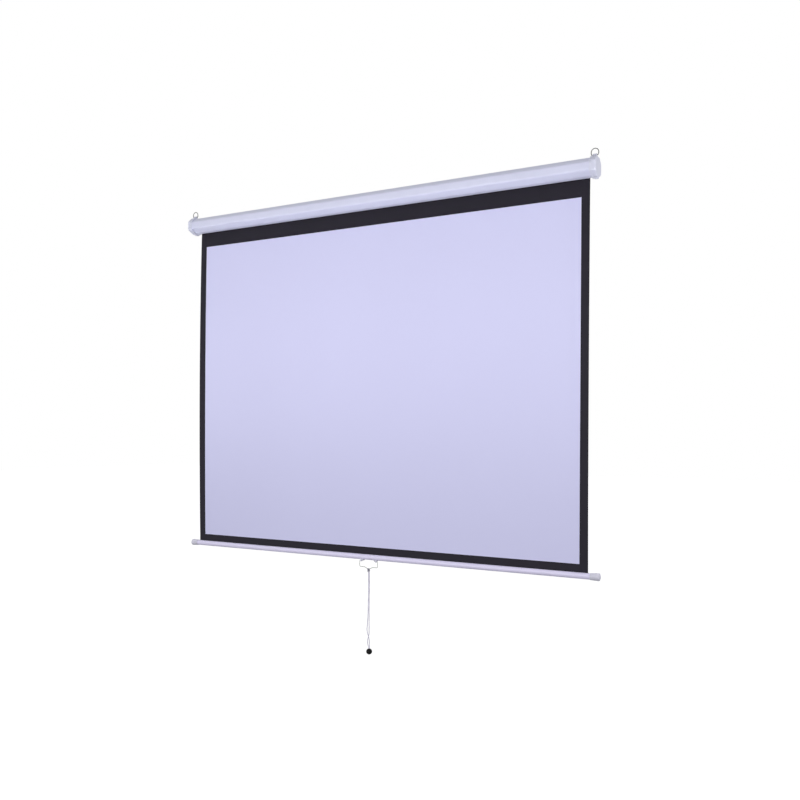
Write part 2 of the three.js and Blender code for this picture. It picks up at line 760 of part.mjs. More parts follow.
for (const [name, side] of Object.entries(sides)) {
  piece(clips, `${name}_handle_clip`, makeClip(side), greyPlastic);
  const rivetPlace = [side * clipRivetAt, 0, saddleLow - seatGap];
  piece(clips, `${name}_clip_rivet`, makeClipRivet(), brightSteel, rivetPlace);
}

// Wires: straight runs joined by bends
function bent(points, bend) {
  const path = new THREE.CurvePath();
  let from = points[0].clone();
  for (let i = 1; i < points.length - 1; i += 1) {
    const corner = points[i];
    const room = Math.min(bend, corner.distanceTo(points[i - 1]) / 2, corner.distanceTo(points[i + 1]) / 2);
    const start = corner.clone().add(points[i - 1].clone().sub(corner).setLength(room));
    const end = corner.clone().add(points[i + 1].clone().sub(corner).setLength(room));
    path.add(new THREE.LineCurve3(from, start));
    path.add(new THREE.QuadraticBezierCurve3(start, corner.clone(), end));
    from = end;
  }
  path.add(new THREE.LineCurve3(from, points[points.length - 1].clone()));
  return path;
}

function wireAlong(path, radius, steps) {
  const section = new THREE.Shape();
  for (let i = 0; i < wireSides; i += 1) {
    const turn = (2 * Math.PI * i) / wireSides;
    const point = [radius * Math.cos(turn), radius * Math.sin(turn)];
    if (i === 0) section.moveTo(...point);
    else section.lineTo(...point);
  }
  section.closePath();
  return new THREE.ExtrudeGeometry(section, { steps, bevelEnabled: false, extrudePath: path });
}

// Pull handle: a wire bail whose ends sit in the clips, drawn to a neck for the cord
const pivotY = fabricPlane - pivotReach * Math.sin(clipLean);
const pivotZ = barAxis - pivotReach * Math.cos(clipLean);
const handle = groupAt(0, pivotY, pivotZ);
const handleHalf = clipEnd + handleSideRoom;
const handleSide = [
  [boreFrom + seatGap, 0], [handleHalf, 0], [handleHalf, -handleLeg], [handleShoulder, -handleShoulderDrop],
  [handleNeckHalf, -handleNeckDrop],
];
const handlePath = bent([
  ...handleSide.map(([x, z]) => new THREE.Vector3(-x, 0, z)),
  ...[...handleSide].reverse().map(([x, z]) => new THREE.Vector3(x, 0, z)),
], handleBend);
piece(handle, 'pull_handle', wireAlong(handlePath, handleWire, handleSteps), brightSteel);

// Pull cord: hitched round the neck, doubled down to the ball
const neck = groupAt(0, pivotY, pivotZ - handleNeckDrop);

function makeHitch() {
  const loopWire = (hitchRadius - handleWire - seatGap) / 2;
  const loopMiddle = handleWire + seatGap + loopWire;
  const loops = Object.values(sides).map((side) => new THREE.TorusGeometry(
    loopMiddle, loopWire, arcSteps, smallSteps,
  ).rotateY(Math.PI / 2).translate(side * loopWire * hitchSpreadShare, 0, 0));
  const knot = new THREE.SphereGeometry(knotRadius, smallSteps, arcSteps)
    .scale(1, 1, knotFlatShare).translate(0, 0, -knotDrop);
  const wireRoom = rod(handleWire + seatGap, -hitchRadius * 2, hitchRadius * 2, 1, smallSteps);
  return cut(join(...loops, knot), wireRoom);
}

function makeStrand(route) {
  const points = route.map((point) => new THREE.Vector3(...point));
  return wireAlong(new THREE.CatmullRomCurve3(points, false, 'centripetal'), strandRadius, strandSteps);
}

function makeBall() {
  const mouth = Math.asin(ballBore / ballRadius);
  const boreFloor = ballRadius * Math.cos(mouth) - ballBoreDepth;
  const points = [new THREE.Vector2(0, -ballRadius)];
  for (let i = 1; i <= ballSteps; i += 1) {
    const turn = Math.PI + ((mouth - Math.PI) * i) / ballSteps;
    points.push(new THREE.Vector2(ballRadius * Math.sin(turn), ballRadius * Math.cos(turn)));
  }
  points.push(new THREE.Vector2(ballBore, boreFloor), new THREE.Vector2(0, boreFloor));
  return new THREE.LatheGeometry(points, roundSteps).rotateX(Math.PI / 2);
}

piece(neck, 'cord_hitch', makeHitch(), cordThread);
piece(neck, 'left_strand', makeStrand(leftRoute), cordThread);
piece(neck, 'right_strand', makeStrand(rightRoute), cordThread);
piece(neck, 'pull_ball', makeBall(), blackGloss, [ballShift, 0, -ballDrop]);

// Hanging rings: closed wire, a round crown and a straight foot through the lug
function makeRing() {
  const flat = (x, z) => new THREE.Vector3(x, 0, z);
  const crown = new THREE.EllipseCurve(0, ringLegDrop, ringCrown, ringCrown, 0, Math.PI, false);
  const legs = Object.values(sides).map((side) => new THREE.QuadraticBezierCurve3(
    flat(side * ringCrown, ringLegDrop), flat(side * ringCrown, 0), flat(side * ringFootHalf, 0),
  ).getPoints(arcSteps));
  const outline = [
    ...crown.getPoints(roundSteps).map((point) => flat(point.x, point.y)),
    ...legs[0].slice(1), ...legs[1].reverse().slice(0, -1),
  ];
  const path = new THREE.CatmullRomCurve3(outline, true, 'centripetal');
  return new THREE.TubeGeometry(path, ringSteps, ringWire, wireSides, true);
}

for (const [name, side] of Object.entries(sides)) {
  const lug = groupAt(side * ringAt, 0, lugAxis);
  piece(lug, `${name}_hanging_ring`, toGeometry(toSolid(makeRing())), brightSteel);
}

export default screen;
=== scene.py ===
import math
import bpy
import bmesh
import numpy as np
from mathutils import Matrix


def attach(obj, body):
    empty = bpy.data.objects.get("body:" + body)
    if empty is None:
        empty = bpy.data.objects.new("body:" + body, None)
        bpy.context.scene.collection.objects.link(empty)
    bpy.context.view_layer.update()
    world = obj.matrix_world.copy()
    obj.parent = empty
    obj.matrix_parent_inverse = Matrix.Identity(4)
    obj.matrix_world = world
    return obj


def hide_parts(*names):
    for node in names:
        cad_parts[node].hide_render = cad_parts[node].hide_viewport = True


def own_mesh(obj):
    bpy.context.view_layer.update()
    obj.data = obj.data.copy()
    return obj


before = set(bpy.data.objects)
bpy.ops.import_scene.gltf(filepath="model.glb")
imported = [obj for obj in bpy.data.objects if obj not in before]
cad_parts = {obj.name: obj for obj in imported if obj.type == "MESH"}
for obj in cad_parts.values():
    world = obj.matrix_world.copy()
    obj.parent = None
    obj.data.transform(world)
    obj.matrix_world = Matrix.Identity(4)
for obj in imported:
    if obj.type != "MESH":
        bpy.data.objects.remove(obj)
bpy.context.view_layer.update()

# A hung pull-down screen. Metres. X runs along the case, -Y is the front, Z is up.

mm = 0.001
fullTurn = 2 * math.pi
sideSigns = {"left": -1, "right": 1}
weldGap = 1e-6  # points closer than this are one point
allSmooth = 180  # degrees between faces: no edge of the piece stays sharp


def addObject(name, data):
    made = bpy.data.objects.new(name, data)
    bpy.context.scene.collection.objects.link(made)
    return made


def standing(right, up, away, place):
    # the matrix of a camera or a lamp from its three directions and its place; it looks against `away`
    turned = np.eye(4)
    turned[:3] = np.stack([right, up, away, place], axis=1)
    return Matrix(turned.tolist())


# Camera: nearly level, to the right of the screen's middle and turned to the left
cameraPlan = {
    "place": (1.7272, -2.8665, -0.9876),
    "turnLeft": math.radians(28.89),
    "roll": math.radians(0.326),
    "lens": 38.01,
    "shiftUp": 0.0433,
}


def makeCamera(plan):
    # right and up are turned about the line of sight by the roll
    forward = np.array([-math.sin(plan["turnLeft"]), math.cos(plan["turnLeft"]), 0.0])
    right = np.array([math.cos(plan["turnLeft"]), math.sin(plan["turnLeft"]), 0.0])
    up = np.cross(right, forward)
    rollCos, rollSin = math.cos(plan["roll"]), math.sin(plan["roll"])
    rolledRight, rolledUp = right * rollCos + up * rollSin, up * rollCos - right * rollSin
    camera = addObject("camera", bpy.data.cameras.new("camera"))
    camera.matrix_world = standing(rolledRight, rolledUp, -forward, plan["place"])
    camera.data.lens = plan["lens"]
    camera.data.shift_y = plan["shiftUp"]
    bpy.context.scene.camera = camera


makeCamera(cameraPlan)
print("camera set")


# Surfaces are grids of points: rows along the piece, columns round it or across it

def gridFaces(rows, columns, joinRows=False, joinColumns=True, first=0):
    # the four corners of each cell, as index arrays; a joined side wraps to its start
    row = np.arange(rows if joinRows else rows - 1)
    column = np.arange(columns if joinColumns else columns - 1)
    row, column = (index.ravel() for index in np.meshgrid(row, column, indexing="ij"))
    nextRow, nextColumn = (row + 1) % rows, (column + 1) % columns
    corners = [
        row * columns + column, row * columns + nextColumn,
        nextRow * columns + nextColumn, nextRow * columns + column,
    ]
    return np.stack(corners, axis=1) + first


def smoothed(mesh, below):
    # an edge looks round where its two faces turn by less than so many degrees, and sharp elsewhere
    mesh.shade_smooth()
    mesh.set_sharp_from_angle(angle=math.radians(below))


def putMesh(name, parts, smoothBelow=35, weld=0):
    # parts are pairs of points (n, 3) and lists of faces
    points = np.concatenate([partPoints for partPoints, _ in parts])
    offsets = np.cumsum([0] + [len(partPoints) for partPoints, _ in parts[:-1]])
    faces = []
    for (_, lists), offset in zip(parts, offsets):
        for each in lists:
            faces.extend((np.asarray(each) + offset).tolist())
    mesh = bpy.data.meshes.new(name)
    mesh.from_pydata(points.tolist(), [], faces)
    work = bmesh.new()
    work.from_mesh(mesh)
    if weld:
        bmesh.ops.remove_doubles(work, verts=work.verts, dist=weld)
    bmesh.ops.recalc_face_normals(work, faces=work.faces)
    work.to_mesh(mesh)
    work.free()
    smoothed(mesh, smoothBelow)
    return addObject(name, mesh)


def writeUv(piece, u, v):
    # u and v are one value per vertex, copied to each face corner that uses it
    mesh = piece.data
    corner = np.zeros(len(mesh.loops), np.int32)
    mesh.loops.foreach_get("vertex_index", corner)
    layer = mesh.uv_layers.new(name="cloth")
    layer.data.foreach_set("uv", np.stack([u[corner], v[corner]], axis=1).astype(np.float32).ravel())


def vertexArray(piece):
    # the mesh's own points as (n, 3)
    points = np.zeros(len(piece.data.vertices) * 3, np.float32)
    piece.data.vertices.foreach_get("co", points)
    return points.reshape(-1, 3)


def unit(vectors):
    # each vector divided by its length
    return vectors / np.linalg.norm(vectors, axis=-1, keepdims=True)


def tangents(line, closed):
    # the direction of travel at each point of a line, of length 1
    if closed:
        return unit(np.roll(line, -1, axis=0) - np.roll(line, 1, axis=0))
    return unit(np.gradient(line, axis=0))


def anglesRound(count):
    # equal steps of a full turn, in radians
    return np.arange(count) * fullTurn / count


def quadratic(t, start, corner, end):
    # (1 - t)^2 start + 2 t (1 - t) corner + t^2 end
    return (1 - t) ** 2 * start + 2 * t * (1 - t) * corner + t**2 * end


def sweep(path, outline, sideways=(0, 1, 0), closed=False):
    # outline (n, 2) or (m, n, 2) carried along path (m, 3): each station stands square to the path's
    # tangent, with its first axis along `sideways` made square to the tangent; open ends get a face
    path = np.asarray(path, float)
    tangent = tangents(path, closed)
    across = unit(np.cross(np.cross(tangent, sideways), tangent))
    upward = np.cross(tangent, across)
    outline = np.broadcast_to(outline, (len(path),) + np.shape(outline)[-2:])
    grid = path[:, None] + outline[..., :1] * across[:, None] + outline[..., 1:] * upward[:, None]
    count = outline.shape[1]
    faces = [gridFaces(len(path), count, joinRows=closed)]
    if not closed:
        last = (len(path) - 1) * count
        faces += [[list(range(count))], [list(range(last, last + count))]]
    return grid.reshape(-1, 3), faces


def ringOutline(radius, count):
    # points on a circle; the radius is one value, or one for each point of each station
    angle = anglesRound(count)
    return np.stack([radius * np.cos(angle), radius * np.sin(angle)], axis=-1)


def revolve(profile, count, centre=(0, 0, 0), axis="x"):
    # profile of [radius, reach] turned about the axis; points on the axis are welded by putMesh
    profile = np.asarray(profile, float)
    angle = anglesRound(count)
    radius, reach = profile[:, :1], np.repeat(profile[:, 1:], count, axis=1)
    first, second = radius * np.cos(angle), radius * np.sin(angle)
    order = [reach, first, second] if axis == "x" else [first, second, reach]
    points = np.stack(order, axis=-1).reshape(-1, 3) + np.asarray(centre, float)
    return points, [gridFaces(len(profile), count)]


def arc(centre, radius, start, end, count):
    # points of a circular arc, degrees from the first axis
    angle = np.radians(np.linspace(start, end, count))
    return np.stack([centre[0] + radius * np.cos(angle), centre[1] + radius * np.sin(angle)], axis=1)


def bentLine(corners, run, steps=9, closed=False, support=0.12):
    # straight runs joined by quadratic curves that start `run` before each corner; a support point on
    # both sides of each curve keeps the flats flat when the normals are smoothed
    corners = np.asarray(corners, float)
    toBefore = np.roll(corners, 1, axis=0) - corners
    toAfter = np.roll(corners, -1, axis=0) - corners
    if not closed:
        toBefore, toAfter = toBefore[1:-1], toAfter[1:-1]
    middle = corners if closed else corners[1:-1]
    toBefore, toAfter = unit(toBefore), unit(toAfter)
    t = np.linspace(0, 1, steps)[None, :, None]
    enter, leave = middle + toBefore * run, middle + toAfter * run
    curve = quadratic(t, enter[:, None], middle[:, None], leave[:, None])
    aside = support * run
    bent = np.concatenate([
        (enter + toBefore * aside)[:, None], curve, (leave + toAfter * aside)[:, None],
    ], axis=1).reshape(-1, corners.shape[1])
    return bent if closed else np.concatenate([corners[:1], bent, corners[-1:]])


def shifted(line, distance, closed=True):
    # moves a line in a plane to the right of its direction of travel
    tangent = tangents(line, closed)
    return line + distance * np.stack([tangent[:, 1], -tangent[:, 0]], axis=1)


def loft(loops):
    # loops is a list of (x, outline in Y and Z); the first and last are closed with a flat face
    grid = np.stack([np.column_stack([np.full(len(loop), x), loop]) for x, loop in loops])
    count = grid.shape[1]
    last = (len(loops) - 1) * count
    faces = [gridFaces(len(loops), count), [list(range(count))], [list(range(last, last + count))]]
    return grid.reshape(-1, 3), faces


def curveThrough(route, count, fineSteps=40):
    # centripetal Catmull-Rom curve: between two points of the route a cubic Hermite curve whose
    # tangents come from the square roots of the distances; then spaced evenly along its length
    route = np.asarray(route, float)
    points = np.concatenate([[2 * route[0] - route[1]], route, [2 * route[-1] - route[-2]]])
    step = np.linalg.norm(np.diff(points, axis=0), axis=1, keepdims=True) ** 0.5
    slope = np.diff(points, axis=0) / step
    chord = (points[2:] - points[:-2]) / (step[:-1] + step[1:])
    leave = (slope[:-2] - chord[:-1] + slope[1:-1]) * step[1:-1]
    reach = (slope[1:-1] - chord[1:] + slope[2:]) * step[1:-1]
    t = np.linspace(0, 1, fineSteps, endpoint=False)[None, :, None]
    start, end, leave, reach = (each[:, None] for each in (points[1:-2], points[2:-1], leave, reach))
    fine = start * (2 * t**3 - 3 * t**2 + 1) + leave * (t**3 - 2 * t**2 + t)
    fine = fine + end * (3 * t**2 - 2 * t**3) + reach * (t**3 - t**2)
    return spacedEvenly(np.concatenate([fine.reshape(-1, 3), route[-1:]]), count)


def spacedEvenly(points, count):
    # points at equal steps of the line's own length
    along = np.concatenate([[0], np.cumsum(np.linalg.norm(np.diff(points, axis=0), axis=1))])
    wanted = np.linspace(0, along[-1], count)
    return np.stack([np.interp(wanted, along, points[:, k]) for k in range(3)], axis=1)


def lengthOf(points):
    return float(np.linalg.norm(np.diff(points, axis=0), axis=1).sum())


# Materials: a socket that takes part in sums, and a finish that holds its nodes

class Value:
    # a node's output; an expression on values adds its Math nodes
    def __init__(self, finish, socket):
        self.finish, self.socket = finish, socket

    def maths(self, operation, *others):
        return self.finish.node("Math", {"operation": operation}, dict(enumerate((self, *others))))

    def reflectedMaths(self, operation, other):
        return self.finish.node("Math", {"operation": operation}, {0: other, 1: self})

    def __add__(self, other):
        return self.maths("ADD", other)

    def __radd__(self, other):
        return self.reflectedMaths("ADD", other)

    def __mul__(self, other):
        return self.maths("MULTIPLY", other)

    def __rmul__(self, other):
        return self.reflectedMaths("MULTIPLY", other)

    def __gt__(self, other):
        return self.maths("GREATER_THAN", other)

    def __lt__(self, other):  # the reflected form of >
        return self.maths("LESS_THAN", other)

    def sine(self):
        return self.maths("SINE")

    def atLeast(self, other):
        return self.maths("MAXIMUM", other)


class Finish:
    # a material, or the world's light, whose nodes are made by one method
    def __init__(self, name, tree=None):
        self.material = None
        if tree is None:
            self.material = bpy.data.materials.new(name)
            self.material.use_nodes = True
            tree = self.material.node_tree
        self.tree = tree
        self.tree.nodes.clear()

    def node(self, kind, settings=None, sockets=None, out=0):
        made = self.tree.nodes.new("ShaderNode" + kind)
        for key, value in (settings or {}).items():
            setattr(made, key, value)
        for key, value in (sockets or {}).items():
            if isinstance(value, Value):
                self.tree.links.new(value.socket, made.inputs[key])
            else:
                made.inputs[key].default_value = value
        return Value(self, made.outputs[out]) if len(made.outputs) else None

    def mixed(self, factor, first, second):
        return self.node("Mix", {"data_type": "RGBA"}, {0: factor, 6: first, 7: second}, out=2)

    def parts(self, vector):
        split = self.node("SeparateXYZ", sockets={0: vector}).socket.node
        return [Value(self, split.outputs[k]) for k in range(3)]

    def joined(self, sockets):
        return self.node("CombineXYZ", sockets=sockets)

    def place(self):
        return self.node("TexCoord", out=3)

    def clothMap(self):
        return self.parts(self.node("UVMap", {"uv_map": "cloth"}))

    def stretched(self, vector, scale):
        return self.node("Mapping", sockets={"Vector": vector, "Scale": scale})

    def noise(self, vector, scale, detail, roughness=0.5):
        sockets = {"Vector": vector, "Scale": scale, "Detail": detail, "Roughness": roughness}
        return self.node("TexNoise", sockets=sockets)

    def bump(self, height, distance, strength):
        sockets = {"Height": height, "Distance": distance, "Strength": strength}
        return self.node("Bump", sockets=sockets)

    def surface(self, sockets):
        shader = self.node("BsdfPrincipled", sockets=sockets)
        self.node("OutputMaterial", sockets={"Surface": shader})
        return self.material


def shade(colour):
    # a colour as it shows on a screen, 0 to 255, turned into the linear values that a shader takes
    shown = [part / 255 for part in colour]
    return (*(c / 12.92 if c <= 0.04045 else ((c + 0.055) / 1.055) ** 2.4 for c in shown), 1.0)


def sheetPaint(name, colour, darker, streaked):
    # stoved paint on folded sheet: faint orange peel, and slow unevenness along the length
    paint = Finish(name)
    place = paint.place()
    peel = paint.noise(place, scale=420.0, detail=3.0)
    streak = paint.noise(paint.stretched(place, (3.0, 60.0, 60.0)), scale=1.0, detail=2.0)
    cloud = paint.noise(place, scale=9.0, detail=2.0)
    tone = paint.mixed(cloud, shade(colour), shade(darker))
    tone = paint.mixed(streak * 0.25, tone, shade(streaked))
    return paint.surface({
        "Base Color": tone,
        "Roughness": 0.40 + 0.12 * streak,
        "Coat Weight": 0.15,
        "Coat Roughness": 0.25,
        "Normal": paint.bump(peel, distance=0.05 * mm, strength=0.5),
    })


def mouldedPlastic(name, colour, darker, grain=0.03 * mm):
    # injection-moulded plastic with a fine spark-eroded grain and slight flow marks
    plastic = Finish(name)
    place = plastic.place()
    pits = plastic.noise(place, scale=1500.0, detail=2.0)
    flow = plastic.noise(plastic.stretched(place, (30.0, 12.0, 12.0)), scale=1.0, detail=3.0)
    return plastic.surface({
        "Base Color": plastic.mixed(flow, shade(colour), shade(darker)),
        "Roughness": 0.42 + 0.16 * pits,
        "Normal": plastic.bump(pits, distance=grain, strength=0.8),
    })


def platedWire(name, colour, darker, smoothest):
    # zinc-plated drawn wire: drawing marks and a slightly mottled plate
    wire = Finish(name)
    place = wire.place()
    mottle = wire.noise(place, scale=260.0, detail=4.0, roughness=0.65)
    marks = wire.noise(place, scale=2400.0, detail=2.0)
    return wire.surface({
        "Base Color": wire.mixed(mottle, shade(colour), shade(darker)),
        "Metallic": 1.0,
        "Roughness": smoothest + 0.22 * mottle,
        "Normal": wire.bump(marks, distance=0.01 * mm, strength=0.6),
    })


def turnedSteel(name, colour, darker):
    # machined steel: fine marks round X, lightly stained
    steel = Finish(name)
    x, y, z = steel.parts(steel.place())
    across = steel.joined({0: x * 4000.0, 1: y * 20.0, 2: z * 20.0})
    marks = steel.noise(across, scale=1.0, detail=2.0)
    stain = steel.noise(steel.place(), scale=60.0, detail=4.0, roughness=0.6)
    return steel.surface({
        "Base Color": steel.mixed(stain, shade(colour), shade(darker)),
        "Metallic": 1.0,
        "Roughness": 0.28 + 0.25 * stain,
        "Normal": steel.bump(marks, distance=0.008 * mm, strength=0.7),
    })


clothPitch = 0.9 * mm  # two threads of the weave


def wovenTone(across, along):
    # plain weave: two sets of rounded threads, each on top where the other dips
    warp = (across * (fullTurn / clothPitch)).sine()
    weft = (along * (fullTurn / clothPitch)).sine()
    return (warp * weft) * 0.5 + 0.5


def blackCloth(name, colour, darker, lintTone):
    # black coated cloth: its weave shows faintly through a dull coat, with a little lint on it
    cloth = Finish(name)
    u, v, _ = cloth.clothMap()
    weave = wovenTone(u, v)
    cloud = cloth.noise(cloth.place(), scale=14.0, detail=3.0)
    lint = cloth.noise(cloth.place(), scale=900.0, detail=2.0) > 0.72
    tone = cloth.mixed(cloud, shade(colour), shade(darker))
    return cloth.surface({
        "Base Color": cloth.mixed(lint * 0.08, tone, shade(lintTone)),
        "Specular IOR Level": 0.16,
        "Roughness": 0.62 + 0.12 * weave,
        "Normal": cloth.bump(weave, distance=0.04 * mm, strength=0.7),
    })


def whiteCloth(name, colour, lighter):
    # matt white projection coat, embossed with a fine grain so that no lamp glares in it
    coat = Finish(name)
    u, v, _ = coat.clothMap()
    weave = wovenTone(u, v)
    grain = coat.noise(coat.place(), scale=1600.0, detail=2.0)
    cloud = coat.noise(coat.stretched(coat.place(), (1.6, 1.0, 1.1)), scale=1.4, detail=2.0)
    return coat.surface({
        "Base Color": coat.mixed(cloud, shade(colour), shade(lighter)),
        "Roughness": 0.86,
        "Normal": coat.bump(weave * 0.5 + grain * 0.5, distance=0.05 * mm, strength=0.6),
    })


def twistedThread(name, colour, darker, fibreTone):
    # twisted cotton: the plies are in the mesh, the fibres in the bump
    thread = Finish(name)
    u, v, _ = thread.clothMap()
    fibre = thread.noise(thread.joined({0: u * 9000.0, 1: v * 700.0}), scale=1.0, detail=3.0)
    grey = thread.noise(thread.place(), scale=45.0, detail=2.0)
    tone = thread.mixed(grey, shade(colour), shade(darker))
    return thread.surface({
        "Base Color": thread.mixed(fibre * 0.35, tone, shade(fibreTone)),
        "Roughness": 0.85,
        "Normal": thread.bump(fibre, distance=0.06 * mm, strength=0.8),
    })


def glossBall(name, colour, lighter):
    # polished black plastic with a hair of surface wander
    gloss = Finish(name)
    wander = gloss.noise(gloss.place(), scale=120.0, detail=2.0)
    return gloss.surface({
        "Base Color": gloss.mixed(wander, shade(colour), shade(lighter)),
        "Specular IOR Level": 0.1,
        "Roughness": 0.10 + 0.10 * wander,
        "Normal": gloss.bump(wander, distance=0.02 * mm, strength=0.5),
    })


# Colours are written as they show on a screen, 0 to 255
finishes = {
    "white_paint": sheetPaint("case_paint", (213, 215, 237), (208, 210, 233), (203, 204, 228)),
    "bar_paint": sheetPaint("bar_paint", (221, 215, 242), (216, 211, 238), (210, 205, 232)),
    "white_plastic": mouldedPlastic("cap_plastic", (214, 216, 234), (208, 210, 229)),
    "grey_plastic": mouldedPlastic("bar_cap_plastic", (211, 210, 225), (202, 201, 216)),
    "black_cloth": blackCloth("black_coated_cloth", (29, 27, 35), (35, 32, 42), (110, 108, 118)),
    "white_cloth": whiteCloth("matt_white_coat", (203, 203, 236), (206, 206, 239)),
    "bright_steel": platedWire("zinc_wire", (122, 123, 121), (94, 95, 94), 0.26),
    "dark_steel": turnedSteel("oiled_steel", (112, 113, 117), (70, 70, 74)),
    "inner_plastic": mouldedPlastic("nylon", (190, 187, 176), (176, 173, 163), 0.02 * mm),
    "cord_thread": twistedThread("cord_thread", (212, 208, 226), (196, 192, 213), (176, 172, 194)),
    # the knot's thread is the cord's thread made darker: painted shade of its crossings and tight wraps
    "knot_thread_painted_shade": twistedThread("knot_thread_painted_shade", (164, 163, 176), (150, 148, 164), (132, 130, 146)),
    "black_gloss": glossBall("black_gloss", (5, 5, 6), (11, 11, 13)),
    "pressed_zinc": turnedSteel("pressed_zinc", (172, 173, 176), (132, 133, 137)),
    "light_wire": platedWire("handle_wire", (172, 175, 170), (144, 147, 143), 0.34),
}
print("finishes made:", len(finishes))


def dress(piece, slotName, body, *nodes, finish=None):
    # gives a new piece its finish and its body, and hides the CAD nodes that it stands for
    piece.data.materials.clear()
    piece.data.materials.append(finishes[finish or slotName])
    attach(piece, body)
    if nodes:
        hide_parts(*nodes)
    return piece


# Pull cord: a doubled twisted cord hitched round the handle's neck, its ends in the ball. Each strand
# starts a little way inside the knot, so that it stays joined to it as the cord sways
cordPlan = {
    "neck": np.array([0.0, 11.589, -1522.65]) * mm,
    "radius": 1.5 * mm,
    "plies": 3,
    "plyDip": 0.13,
    "twist": 7.0 * mm,
    "ringGap": 0.55 * mm,
    "sides": 18,
    "roughSteps": 200,
    "pathStep": 4,
    "tuck": {"left": [0.2, 0, -7.2], "right": [1.6, 0, -7.2]},
    "left": [
        [-0.3, 0, -10.8], [0.6, 0, -40], [1.2, -1.2, -78], [2.2, -1.7, -106], [0.4, -1.3, -130],
        [-0.8, 0, -160], [-1.9, 0, -190], [-3.6, 0, -218], [-5.9, 0, -241], [-2.9, -1, -253],
        [1.4, -1.75, -264], [4.6, -1, -275], [5.8, 0, -290], [6.1, 0, -304], [6.4, 0, -313],
        [6.5, 0, -320],
    ],
    "right": [
        [3.3, 0, -10.8], [4.2, 0, -40], [4, 1.2, -78], [2.2, 1.7, -106], [3.2, 1.3, -130],
        [3.6, 0, -160], [3.9, 0, -190], [4, 0, -218], [4.2, 0, -241], [3.4, 1, -253],
        [1.4, 1.75, -264], [-1.6, 1, -275], [-2.6, 0, -288], [-1.9, 0, -297], [0.4, 0, -305.5],
        [2.9, 0, -313], [3.1, 0, -320],
    ],
}


def makeStrand(side, plan):
    # a tube whose radius dips between the plies, with the dips turning round the cord as it runs
    route = np.array([plan["tuck"][side], *plan[side]]) * mm + plan["neck"]
    rough = curveThrough(route, plan["roughSteps"])
    path = curveThrough(route, int(lengthOf(rough) / plan["ringGap"]))
    along = np.linspace(0, lengthOf(path), len(path))[:, None]
    angle = anglesRound(plan["sides"])
    ply = np.abs(np.cos(plan["plies"] / 2 * (angle - along * fullTurn / plan["twist"])))
    radius = plan["radius"] * (1 - plan["plyDip"] * (1 - ply) ** 2)
    strand = putMesh(side + "_strand_cord", [sweep(path, ringOutline(radius, plan["sides"]))], allSmooth)
    around = np.broadcast_to(angle * plan["radius"], radius.shape).ravel()
    writeUv(strand, around, np.broadcast_to(along, radius.shape).ravel())
    dress(strand, "cord_thread", "pull_cord", side + "_strand")
    return strand, path


strands = {side: makeStrand(side, cordPlan) for side in sideSigns}


# Hitch: three wraps round the handle's neck wire, and a drawn-up knot under them
hitchPlan = {
    "wrapRadius": 2.75 * mm,
    "wraps": 3.0,
    "wrapPitch": 2.6 * mm,
    "wrapSteps": 120,
    "threadRadius": 1.1 * mm,
    "knotDrop": 6.4 * mm,
    "knotTurn": 3.5 * mm,
    "knotSwing": 1.3 * mm,
    "knotDepth": 1.6 * mm,
    "knotThread": 1.35 * mm,
    "knotSteps": 180,
    "sides": 14,
}


def makeHitch(plan):
    # wraps: a helix round X. knot: a trefoil, which winds twice round while it rises and falls three times
    t = np.linspace(0, 1, plan["wrapSteps"])
    turn = (t - 0.5) * plan["wraps"] * fullTurn - math.pi / 2
    helix = np.stack([
        (t - 0.5) * plan["wraps"] * plan["wrapPitch"],
        plan["wrapRadius"] * np.cos(turn),
        plan["wrapRadius"] * np.sin(turn),
    ], axis=1) + cordPlan["neck"]
    s = np.arange(plan["knotSteps"]) / plan["knotSteps"] * fullTurn
    loop = plan["knotTurn"] + plan["knotSwing"] * np.cos(3 * s)
    trefoil = np.stack([
        loop * np.cos(2 * s), loop * np.sin(2 * s), plan["knotDepth"] * np.sin(3 * s),
    ], axis=1) + cordPlan["neck"] - np.array([0, 0, plan["knotDrop"]])
    wrapParts = sweep(helix, ringOutline(plan["threadRadius"], plan["sides"]), (1, 0, 0))
    knotParts = sweep(trefoil, ringOutline(plan["knotThread"], plan["sides"]), (0, 0, 1), closed=True)
    hitch = putMesh("hitch_knot", [wrapParts, knotParts], allSmooth)
    points = vertexArray(hitch)
    writeUv(hitch, points[:, 0], points[:, 2])
    # the wraps and knot take the darker thread, which paints the shade between their crossings
    return dress(hitch, "cord_thread", "hitch", "cord_hitch", finish="knot_thread_painted_shade")


# Ball: a bored sphere with a softened mouth where the cord goes in
ballPlan = {
    "radius": 12 * mm, "shift": 4.8 * mm, "drop": 326 * mm, "turns": 64, "rows": 40,
    "bore": 3.8 * mm, "boreDepth": 7 * mm, "mouth": 0.8 * mm, "lipRiseShare": 0.2, "lipRoundShare": 0.7,
    "lipSteps": 6,
}


def makeBall(plan):
    # meridian from the bottom pole up to the mouth, over a small round, down the bore to its floor
    mouthAngle = math.asin((plan["bore"] + plan["mouth"]) / plan["radius"])
    tilt = np.linspace(-math.pi / 2, math.pi / 2 - mouthAngle, plan["rows"])
    outside = np.stack([plan["radius"] * np.cos(tilt), plan["radius"] * np.sin(tilt)], axis=1)
    rim = outside[-1]
    floor = rim[1] - plan["boreDepth"]
    corner = [plan["bore"], rim[1] + plan["lipRiseShare"] * plan["mouth"]]
    lipRun = plan["lipRoundShare"] * plan["mouth"]
    lip = bentLine([rim, corner, [plan["bore"], floor]], lipRun, plan["lipSteps"], support=0)
    profile = np.concatenate([outside[:-1], lip, [[0, floor]]])
    profile[0, 0] = 0  # the pole, right on the axis
    centre = cordPlan["neck"] + np.array([plan["shift"], 0, -plan["drop"]])
    ball = putMesh("cord_ball", [revolve(profile, plan["turns"], centre, axis="z")], weld=weldGap)
    return dress(ball, "black_gloss", "pull_cord", "pull_ball")


